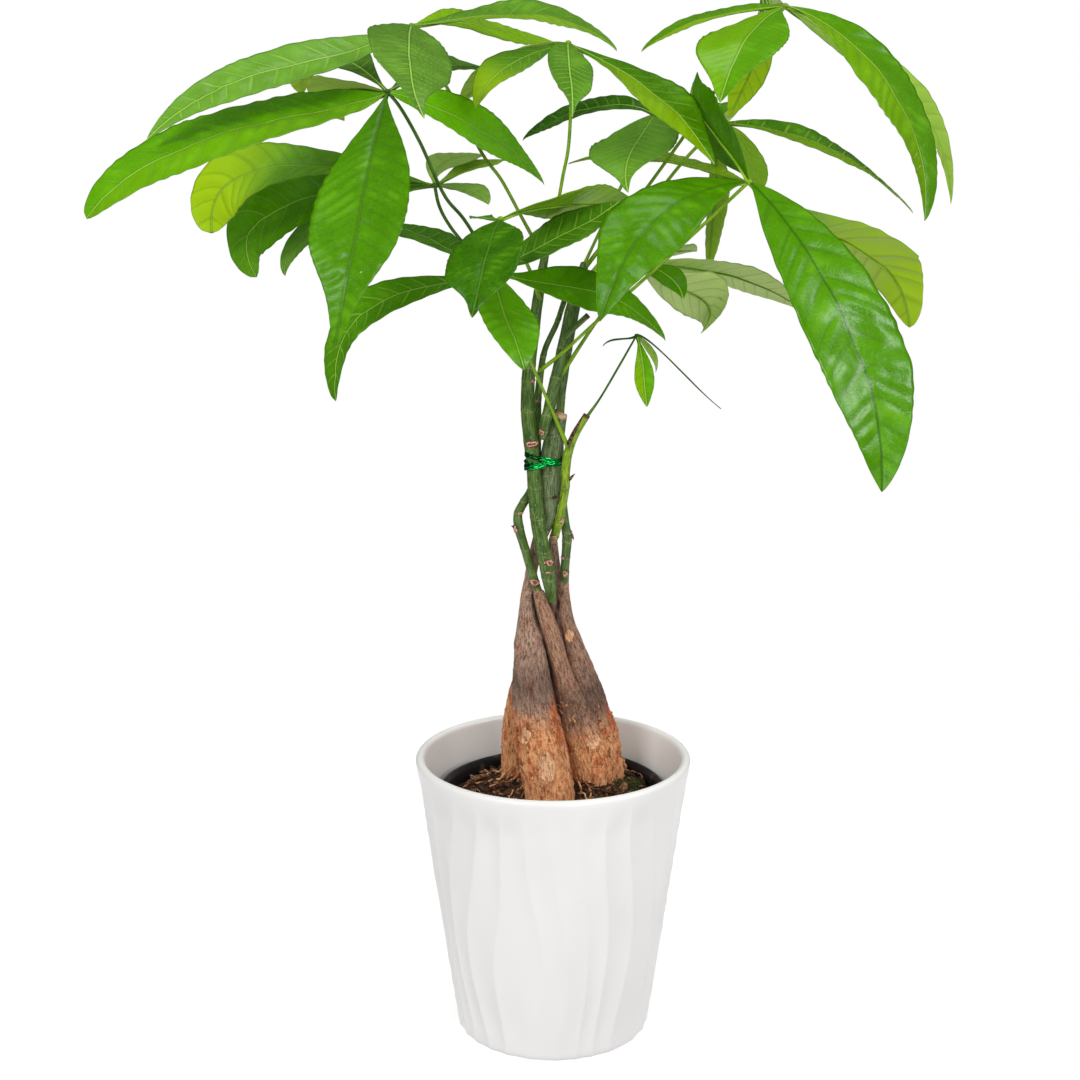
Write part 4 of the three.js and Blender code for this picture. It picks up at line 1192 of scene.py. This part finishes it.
def blade_waver(leaf, t, along, off, side, seed):
    """How far a blade strays from its plain fold: slow waves, and puckers towards its tip."""
    share = breadth_share(t, leaf)
    wave = 0.03 * leaf["wide"] * leaf["breadth"] * share
    pucker = 1.5 * leaf["crinkle"] * smooth_step(0.35, 0.85, t) * min(1, share * 1.5) * (1 - 0.6 * side ** 4)
    wave *= noise.noise(Vector((along * 0.05, off * 0.08, seed)))
    return wave + pucker * noise.noise(Vector((along * 0.16, off * 0.2, seed + 5)))


def rib_frames(points, rows, leaf):
    """Stations along a leaflet's rib: share, place, direction across, direction up, length so far."""
    rib = []
    level = None
    run = 0.0
    for row in range(rows + 1):
        t = row / rows
        middle = rib_point(points, t)
        ahead = (rib_point(points, min(1, t + 0.01)) - rib_point(points, max(0, t - 0.01))).normalized()
        if level is None:
            level = ahead.cross(UP)
        level = (level - ahead * level.dot(ahead)).normalized()
        upward = level.cross(ahead)
        turn = math.radians(leaf["roll"] + leaf["turn"] + leaf["twist"] * t * t)
        across = level * math.cos(turn) + upward * math.sin(turn)
        if rib:
            run += (middle - rib[-1][1]).length
        rib.append((t, middle, across, across.cross(ahead), run))
    return rib


def grow_midrib(form, rib, leaf, green, seed):
    """The round midrib that stands out under a blade and thins towards its tip."""
    wide = leaf["wide"] * leaf["breadth"]
    if wide < 5:
        return
    sunk = 0.15 + 0.2 * min(1, wide / 20)
    stops = []
    for t, middle, across, normal, run in rib[::max(1, len(rib) // MIDRIB_STOPS)]:
        if t < MIDRIB_ENDS:
            radius = (0.4 + wide * 0.006) * (1 - 0.85 * t)
            stray = blade_waver(leaf, t, run, 0, 0, seed)
            stops.append((*(middle + normal * (stray - sunk - radius)), radius * 2))
    rings = limb_rings(stops, MIDRIB_PITCH, round_start=True)
    roll_limb(form, rings, MIDRIB_SIDES, material=1, green=green)


def make_leaf(name, leaf, finishes):
    """A compound leaf: its stalk, the knot at its hub, and its leaflets."""
    form = new_form()
    shade_layer = point_layer(form, "shade")
    hub, green = Vector(leaf["hub"]), leaf["green"]
    first, middle, last = STALK_WIDTHS.get(name, USUAL_STALK)
    stops = [(*point, middle) for point in leaf["stalk"]] + [(*hub, last)]
    stops[0] = (*leaf["stalk"][0], first)
    rings = limb_rings(stops, STALK_PITCH, round_start=True)
    roll_limb(form, rings, STALK_SIDES, material=1, green=green)
    knot = bmesh.ops.create_uvsphere(form, u_segments=14, v_segments=10, radius=last * 0.95)
    bmesh.ops.scale(form, vec=(1, 1, 0.75), verts=knot["verts"])
    bmesh.ops.translate(form, vec=hub, verts=knot["verts"])
    for vert in knot["verts"]:
        vert[shade_layer] = (green, 0.0, 0.0)
    for face in faces_round(knot["verts"]):
        face.material_index = 1
    for index, blade in enumerate(leaf["leaflets"]):
        grow_blade(form, hub, blade, green, index * 2.3)
    add_piece(name + "_blades", form, finishes, [name])


# Pots

POT_SIDES = 420
POT_ROWS = 76
POT_COVE = 5           # radius of the corner inside, between wall and floor
INSIDE_TOP = 129       # the inside wall's points, from under the lip down
INSIDE_STEP = -4
NURSERY_SIDES = 160
FAINTEST = -math.pi / 2 + 0.08    # the flutes are shallowest near the front


def flute_depth(angle, height):
    """How far the hand-carved flutes cut into the cover pot's wall at a place."""
    wander = 0.9 * noise.noise(turned(angle, 1.4, height / 90))
    drift = 0.022 * math.sin(5 * angle + 1)
    count = (angle + drift) / (2 * math.pi) * FLUTES + wander
    scoop = abs(math.sin(math.pi * count)) ** 0.75
    strength = 0.95 + 0.6 * noise.noise(turned(angle, 2.3, height / 70) + Vector((5, 0, 0)))
    calm = 1 - 0.5 * bell(angle - FAINTEST, 0.24)
    fade = smooth_step(POT_HEIGHT - 4, POT_HEIGHT - 20, height) * (0.45 + 0.55 * smooth_step(2, 20, height))
    soft = 0.35 * noise.noise(turned(angle, 1.8, height / 45 + 7))
    return fade * (1.6 * FLUTE_DEPTH * strength * calm * scoop + soft * 0.8)


def pot_radius(height):
    return POT_BASE_RADIUS + (POT_RIM_RADIUS - POT_BASE_RADIUS) * height / POT_HEIGHT


def lathe(form, profile, sides):
    """Spins a closed profile of (radius, height) points round Z. It starts and ends on the axis."""
    grid = rolled_grid(form, sides, len(profile) - 1)
    for vert, turn, row in grid:
        vert.co = turned(turn, *profile[row])
    close_roll(form, grid)


def arc(radius, height, reach, angles):
    """Points of a profile on an arc round (radius, height), at degrees up from straight out."""
    turns = [math.radians(angle) for angle in angles]
    return [(radius + reach * math.cos(turn), height + reach * math.sin(turn)) for turn in turns]


def make_cover_pot(glaze):
    """The glazed cup: flutes outside, a smooth lip and a smooth inside."""
    low, high = POT_FOOT, POT_HEIGHT - POT_LIP
    bottom = pot_radius(POT_FLOOR) - POT_WALL
    levels = [low + (high - low) * i / POT_ROWS for i in range(POT_ROWS + 1)]
    profile = [
        (0, 0), (30, 0),
        *arc(POT_BASE_RADIUS - POT_FOOT, POT_FOOT, POT_FOOT, (-90, -68, -45, -22)),
        *[(pot_radius(z), z) for z in levels],
        *arc(pot_radius(high) - POT_LIP, high, POT_LIP, range(15, 180, 15)),
        *[(pot_radius(z) - POT_WALL, z) for z in range(INSIDE_TOP, POT_FLOOR + 8, INSIDE_STEP)],
        *arc(bottom - POT_COVE, POT_FLOOR + POT_COVE, POT_COVE, (-10, -30, -50, -70, -90)),
        (20, POT_FLOOR), (0, POT_FLOOR),
    ]
    form = new_form()
    lathe(form, profile, POT_SIDES)
    for vert in form.verts:
        radius = vert.co.xy.length
        inside = radius < pot_radius(vert.co.z) - POT_WALL + 0.4
        if not inside and radius >= POT_BASE_RADIUS - POT_FOOT - 1:
            cut = flute_depth(math.atan2(vert.co.y, vert.co.x), vert.co.z)
            vert.co.xy *= (radius - cut) / radius
    add_piece("cover_pot_glazed", form, [glaze], ["cover_pot"], level=0)


def make_nursery_pot(plastic):
    """The thin grower pot, its rolled rim a little out of true."""
    top, floor, base = NURSERY_RIM, NURSERY_FLOOR, NURSERY_BASE_RADIUS
    rim, lip, wall = NURSERY_RIM_RADIUS, NURSERY_LIP, NURSERY_WALL
    profile = [
        (0, floor), (base - 1, floor), (base, floor + 1),
        (rim - lip - 0.6, top - 8), (rim - lip, top - 6.4), (rim - 0.7, top - 5.8), (rim, top - 5.2),
        (rim + 0.3, top - 1.4), (rim + 0.2, top - 0.6), (rim - 0.3, top - 0.1), (rim - 1, top),
        (rim - lip, top - 0.2), (rim - lip - 0.7, top - 0.8), (rim - lip - wall, top - 2.4),
        (rim - lip - wall - 0.1, top - 6), (base - wall, floor + wall), (0, floor + wall),
    ]
    form = new_form()
    lathe(form, profile, NURSERY_SIDES)
    for vert in form.verts:
        if vert.co.z > top - 8:
            angle = math.atan2(vert.co.y, vert.co.x)
            vert.co.z -= 0.25 + 0.25 * math.sin(3 * angle + 1)
    add_piece("nursery_pot_moulded", form, [plastic], ["nursery_pot"])


# Soil and what lies on it

SOIL_SIDES = 210
SOIL_RINGS = 68
SOIL_EDGE = SOIL_LEVEL - 4     # below this the soil is plain
SOIL_REACH = 46.5
THIN_REACH = 46        # moss and fibres stay inside this
CHIP_SEED = 11
CHIPS = 520
LARGE_CHIPS = 130
LARGE_CHIP = (1.8, 4.2)    # sizes
SMALL_CHIP = (0.8, 2.2)
CHIP_SHAPE = ((0.6, 1.3), (0.35, 0.7), (0.18, 0.4))    # a chip's length, breadth and thickness for its size
ROOT_STEPS = 18
ROOT_SIDES = 8
THIN_ROOT = 0.65       # a root's breadth up to which it is a loose fibre
FIBRE_SEED = 23
FIBRES = 90
FIBRE_REACH = 43
FIBRE_LONG = (4, 15)
FIBRE_WIDE = (0.28, 0.6)
FIBRE_STEPS = 8
FIBRE_SIDES = 5
MOSS_SEED = 5
MOSS_LEAVES = 420
MOSS_PATCH = ((36, 4.5), (10, 5.5))    # its middle and spread, to the right and to the back


def soil_height(x, y):
    """Height of the soil: level at the wall, mounded and lumpy round the trunks."""
    mound = SOIL_MOUND * bell((Vector((x, y)) - TRUNK_CENTRE).length, 27)
    lumps = math.sin(x * 0.9 + 1) * math.cos(y * 0.8) + 0.6 * math.sin(x * 0.4 - y * 1.3)
    crumbs = fbm(Vector((x * 0.28, y * 0.28, 4)), 4) * 1.1
    return SOIL_LEVEL + mound + lumps * 0.55 + crumbs - 0.6


def soil_radius(height):
    """The inside of the nursery pot at a height, less a gap."""
    low, high = NURSERY_BASE_RADIUS - NURSERY_WALL, NURSERY_RIM_RADIUS - NURSERY_LIP - NURSERY_WALL
    return low + (high - low) * (height - NURSERY_FLOOR) / (NURSERY_HEIGHT - 6) - GAP - 0.2


def make_soil(crumb):
    """The bed of compost, with a lumpy top."""
    bottom = NURSERY_FLOOR + NURSERY_WALL + GAP
    edge = soil_radius(SOIL_EDGE)
    profile = [(0, bottom), (soil_radius(bottom), bottom), (edge, SOIL_EDGE), (edge - 0.3, SOIL_LEVEL - 1)]
    profile += [(edge - 0.6 - i * (edge - 1) / SOIL_RINGS, SOIL_LEVEL) for i in range(SOIL_RINGS)]
    profile.append((0, SOIL_LEVEL))
    form = new_form()
    lathe(form, profile, SOIL_SIDES)
    level = SOIL_LEVEL - 2
    for vert in form.verts:
        if vert.co.z > level:
            rim = smooth_step(edge, edge - 4, vert.co.xy.length)
            vert.co.z = level + (soil_height(vert.co.x, vert.co.y) - level) * rim
    add_piece("soil_bed", form, [crumb], ["soil"])


def inside_trunk(x, y):
    """True where a trunk stands in the soil, or just beside it. Its third stop is at the soil's height."""
    return any(math.hypot(x - s[2][0], y - s[2][1]) < s[2][3] / 2 + 0.5 for s in TRUNKS.values())


def scatter_spot(draw, reach):
    """A random place within reach of the pot's axis."""
    turn, away = draw.uniform(0, 2 * math.pi), reach * math.sqrt(draw.random())
    return away * math.cos(turn), away * math.sin(turn)


def make_chips(chip):
    """Bark chips and crumbs that lie on the soil."""
    draw = random.Random(CHIP_SEED)
    form = new_form()
    shade_layer = point_layer(form, "shade")
    placed = 0
    while placed < CHIPS:
        x, y = scatter_spot(draw, SOIL_REACH)
        if inside_trunk(x, y):
            continue
        placed += 1
        size = draw.uniform(*(SMALL_CHIP if placed > LARGE_CHIPS else LARGE_CHIP))
        made = bmesh.ops.create_icosphere(form, subdivisions=1, radius=1)
        flat = Vector([size * draw.uniform(*span) for span in CHIP_SHAPE])
        tip, roll, spin = draw.uniform(-0.5, 0.5), draw.uniform(-0.4, 0.4), draw.uniform(0, math.pi)
        shade = draw.random() ** 2.2
        middle = Vector((x, y, soil_height(x, y) + flat.z * 0.5))
        for vert in made["verts"]:
            knock = 1 + 0.3 * noise.noise(vert.co * 1.7 + Vector((placed, 0, 0)))
            px, py, pz = (part * span * knock for part, span in zip(vert.co, flat))
            across = px * math.cos(spin) - py * math.sin(spin)
            back = px * math.sin(spin) + py * math.cos(spin)
            vert.co = middle + Vector((across, back, pz + px * tip + py * roll))
            vert[shade_layer] = (shade, 0.0, 0.0)
    add_piece("bark_chips", form, [chip])


# Roots that show on the soil: points in plan and breadth. They follow the soil between their points.

ROOTS = [
    ([(-19, 17), (-27, 15.5), (-35, 15), (-43, 13)], 1.5), ([(-14, 12), (-20, 11), (-24, 9), (-28, 5)], 1.2),
    ([(-11, 1), (-17, 0), (-20, -6), (-21, -13)], 1.1), ([(-9, -15), (-15, -18), (-20, -24)], 0.9),
    ([(34, 31), (35, 25), (32, 18), (30, 12)], 1.4), ([(32, 33), (38, 30), (43, 21)], 0.7),
    ([(22, 14), (24, 10), (21, 5), (18, 1)], 1.0), ([(13, 4), (17, -2), (16, -10), (10, -18)], 1.0),
    ([(-22, 26), (-30, 26), (-37, 20)], 1.1), ([(0, 42), (-8, 43), (-16, 40)], 1.1),
    ([(10, 40), (20, 40), (28, 36)], 1.0), ([(-18, 14), (-25, 10), (-33, 8), (-40, 2)], 0.8),
    ([(11, -2), (15, -9), (20, -17), (26, -24)], 0.9), ([(-10, -6), (-18, -9), (-26, -8), (-34, -12)], 0.9),
]


def lay_root(form, plan, wide, seed, steps):
    """A root or fibre that runs over the soil through the points of its plan."""
    route = []
    for i in range(steps + 1):
        share = i / steps
        spot = route_point([Vector((x, y, 0, 0)) for x, y in plan], share)
        wobble = 1.4 * noise.noise(Vector((i * 12.6 / steps, seed * 5, 0)))
        x, y = spot.x + wobble, spot.y - wobble * 0.6
        lift = 5 * (1 - share * 5) if share < 0.2 and wide > THIN_ROOT else 0
        rise = max(0, noise.noise(Vector((i * 9 / steps, seed * 3, 9)))) * 2.2
        route.append((x, y, soil_height(x, y) + wide * 0.3 + lift + rise, wide * (1 - 0.65 * share)))
    route[-1] = (*route[-1][:2], route[-1][2] - 1.5, route[-1][3])
    sides = ROOT_SIDES if wide > THIN_ROOT else FIBRE_SIDES
    roll_limb(form, limb_rings(route, 1.0, round_start=True), sides)


def make_roots(root):
    """Thin roots that run over the soil from the trunks' feet, and loose fibres among them."""
    form = new_form()
    for index, (plan, wide) in enumerate(ROOTS):
        lay_root(form, plan, wide, index, ROOT_STEPS)
    draw = random.Random(FIBRE_SEED)
    for index in range(FIBRES):
        x, y = scatter_spot(draw, FIBRE_REACH)
        long, heading, bend = draw.uniform(*FIBRE_LONG), draw.uniform(0, 2 * math.pi), draw.uniform(-1, 1)
        plan = [
            (x + long * s * math.cos(heading + bend * s), y + long * s * math.sin(heading + bend * s))
            for s in (0, 0.5, 1)
        ]
        wide = draw.uniform(*FIBRE_WIDE)
        if inside_trunk(*plan[0]) or math.hypot(*plan[2]) > THIN_REACH:
            continue
        lay_root(form, plan, wide, index + 40, FIBRE_STEPS)
    add_piece("surface_roots", form, [root])


def make_moss(green):
    """A mossy patch on the soil at the front right: short pointed leaves in tufts."""
    draw = random.Random(MOSS_SEED)
    form = new_form()
    shade_layer = point_layer(form, "shade")
    for _ in range(MOSS_LEAVES):
        x, y = (draw.gauss(*spread) for spread in MOSS_PATCH)
        if math.hypot(x, y) > THIN_REACH:
            continue
        turn, tilt, tall = draw.uniform(0, 2 * math.pi), draw.uniform(0.2, 1.1), draw.uniform(0.7, 1.9)
        foot = Vector((x, y, soil_height(x, y) - 0.2))
        way = turned(turn, math.sin(tilt), math.cos(tilt))
        made = bmesh.ops.create_cone(form, cap_ends=True, segments=4, radius1=0.32, radius2=0.03, depth=tall)
        lean = UP.rotation_difference(way).to_matrix()
        for vert in made["verts"]:
            vert[shade_layer] = ((vert.co.z / tall + 0.5) * draw.uniform(0.7, 1.0), 0.0, 0.0)
            vert.co = foot + lean @ (vert.co + Vector((0, 0, tall / 2)))
    add_piece("moss_tufts", form, [green])


# Twist tie

TIED = [(Vector((-9.2, -6)), 3.3), (Vector((-1.2, -3)), 4.75)]    # the two stems: middle and radius
TIE_LEFT = TIED[0][0].x - TIED[0][1]
TIE_SPAN = TIED[1][0].x + TIED[1][1] - TIE_LEFT
LOOP_POINTS = 96
RIBBON_POINTS = 110
RIBBON_SIDES = 10
TIE_TURNS = [(276.5, 272.4), (275.3, 271.4), (270.9, 273.4), (269.1, 272), (270.2, 272.6), (272.6, 270.6)]


def make_tie(foil):
    """Crossing turns of crinkled foil ribbon, drawn close round the two stems."""
    form = new_form()
    for index, (low, high) in enumerate(TIE_TURNS):
        points = []
        for i in range(LOOP_POINTS):
            angle = i / LOOP_POINTS * 2 * math.pi
            way = Vector((math.cos(angle), math.sin(angle)))
            middle, radius = max(TIED, key=lambda held: held[0].dot(way) + held[1])
            place = middle + way * (radius + 0.06 * index)
            points.append(Vector((*place, low + (high - low) * (place.x - TIE_LEFT) / TIE_SPAN)))
        roll_ribbon(form, even_loop(points, RIBBON_POINTS), index)
    add_piece("twist_tie_foil", form, [foil], ["twist_tie"])


def even_loop(points, count):
    """Points at even steps round a closed loop."""
    closed = points + [points[0]]
    lengths = [(b - a).length for a, b in zip(closed, closed[1:])]
    total = sum(lengths)
    spaced, run, leg = [], 0.0, 0
    for i in range(count):
        want = total * i / count
        while run + lengths[leg] < want:
            run += lengths[leg]
            leg += 1
        spaced.append(closed[leg].lerp(closed[leg + 1], (want - run) / lengths[leg]))
    return spaced


def roll_ribbon(form, points, seed):
    """A closed flat ribbon along a loop, twisted and crinkled."""
    count = len(points)
    middle = sum(points, Vector()) / count
    grid = rolled_grid(form, RIBBON_SIDES, count)
    for vert, turn, row in grid:
        i = row % count
        here = points[i]
        tangent = (points[(i + 1) % count] - points[i - 1]).normalized()
        outward = here - middle
        outward = (outward - tangent * outward.dot(tangent)).normalized()
        upward = tangent.cross(outward)
        loop = i / count * 2 * math.pi
        twist = 0.4 * math.sin(loop * 3 + seed * 2) + 0.4 * math.sin(loop * 7 + seed)
        crimp = 1 + 0.12 * math.sin(loop * 9 + seed * 1.3)
        flat = math.cos(turn) * 0.55 * crimp
        thick = math.sin(turn) * 0.12 + 0.04 * math.sin(loop * 15 + flat * 2 + seed)
        vert.co = (
            here
            + upward * (flat * math.cos(twist) - thick * math.sin(twist))
            + outward * (flat * math.sin(twist) * 0.5 + thick * math.cos(twist) + 0.25)
        )
    close_roll(form, grid)


# Scene

# How bright the white surroundings are: as light on the plant, and in its gloss. The camera sees them at 1.

WORLD_LIGHT = 0.56
WORLD_GLOSS = 0.06
SWEEP_COLOUR = (0.34, 0.34, 0.34, 1)
SWEEP_GLOW = 0.74

# Square soft boxes, in metres: name, place, aim, size and watts, and whether matt surfaces and gloss see them

LAMPS = [
    ("soft_left", (-0.9, -1.2, 1.3), (0, 0, 0.3), 0.6, 12, True, True),
    ("soft_front", (0.55, -1.5, 0.75), (0, 0, 0.15), 0.6, 8, True, True),
    ("soft_top", (0.0, 0.1, 1.7), (0, 0, 0.3), 0.6, 4, True, True),
    ("soft_right", (1.3, -0.3, 1.0), (0, 0, 0.3), 0.6, 3.5, True, True),
    ("sheen_right", (1.4, -0.5, 1.27), (0.12, -0.06, 0.32), 0.5, 12, False, True),
    ("soft_back", (0.75, 1.2, 1.1), (0, 0, 0.2), 0.6, 6, True, False),
]
CAMERA_PLACE = (-0.006, -0.862, 0.437)
CAMERA_TILT = 76.7     # degrees up from straight down
CAMERA_LENS = 65.67
CAMERA_SENSOR = 36


def soft_light(name, place, aim, size, watts, lights, shines):
    light = bpy.data.lights.new(name, "AREA")
    light.shape = "SQUARE"
    light.size = size
    light.energy = watts
    lamp = add_object(name, light)
    lamp.location = place
    lamp.rotation_mode = "QUATERNION"
    lamp.rotation_quaternion = (Vector(aim) - Vector(place)).to_track_quat("-Z", "Y")
    lamp.visible_diffuse = lights
    lamp.visible_glossy = shines


def set_stage():
    """The white surroundings, the sweep, the lamps and the camera."""
    scene = bpy.context.scene
    scene.view_settings.view_transform = "Standard"
    scene.world = bpy.data.worlds.new("studio_white")
    scene.world.use_nodes = True
    tree = scene.world.node_tree
    background = tree.nodes["Background"]
    background.inputs["Color"].default_value = WHITE
    path = tree.nodes.new("ShaderNodeLightPath")
    unseen = tree.nodes.new("ShaderNodeMapRange")
    unseen.inputs["To Min"].default_value = WORLD_LIGHT
    unseen.inputs["To Max"].default_value = WORLD_GLOSS
    tree.links.new(path.outputs["Is Glossy Ray"], unseen.inputs["Value"])
    level = tree.nodes.new("ShaderNodeMapRange")
    tree.links.new(unseen.outputs["Result"], level.inputs["To Min"])
    tree.links.new(path.outputs["Is Camera Ray"], level.inputs["Value"])
    tree.links.new(level.outputs["Result"], background.inputs["Strength"])
    form = bmesh.new()
    bmesh.ops.create_circle(form, cap_ends=True, segments=96, radius=0.5)
    floor = add_object("sweep", mesh_of("sweep", form, [pale_floor()]))
    floor.visible_diffuse = False
    for lamp in LAMPS:
        soft_light(*lamp)
    lens = bpy.data.cameras.new("front_view")
    lens.lens = CAMERA_LENS
    lens.sensor_width = CAMERA_SENSOR
    scene.camera = add_object("front_view", lens)
    scene.camera.location = CAMERA_PLACE
    scene.camera.rotation_euler = (math.radians(CAMERA_TILT), 0, 0)


set_stage()
make_cover_pot(pot_glaze())
make_nursery_pot(nursery_plastic())
make_soil(soil_crumb())
make_chips(chip_bark())
flake = flake_skin()
make_roots(flake)
make_moss(moss_green())
bark = bark_skin()
for name, stops in TRUNKS.items():
    make_trunk(name, stops, bark, flake)
green_skin = stem_skin()
dry_bud = bud_skin()
for name, stops in STEMS.items():
    make_stem(name, stops, green_skin, dry_bud)
make_tie(tie_foil())
leaf_finishes = [leaf_skin(), stalk_skin()]
for name, leaf in LEAVES.items():
    make_leaf(name, leaf, leaf_finishes)
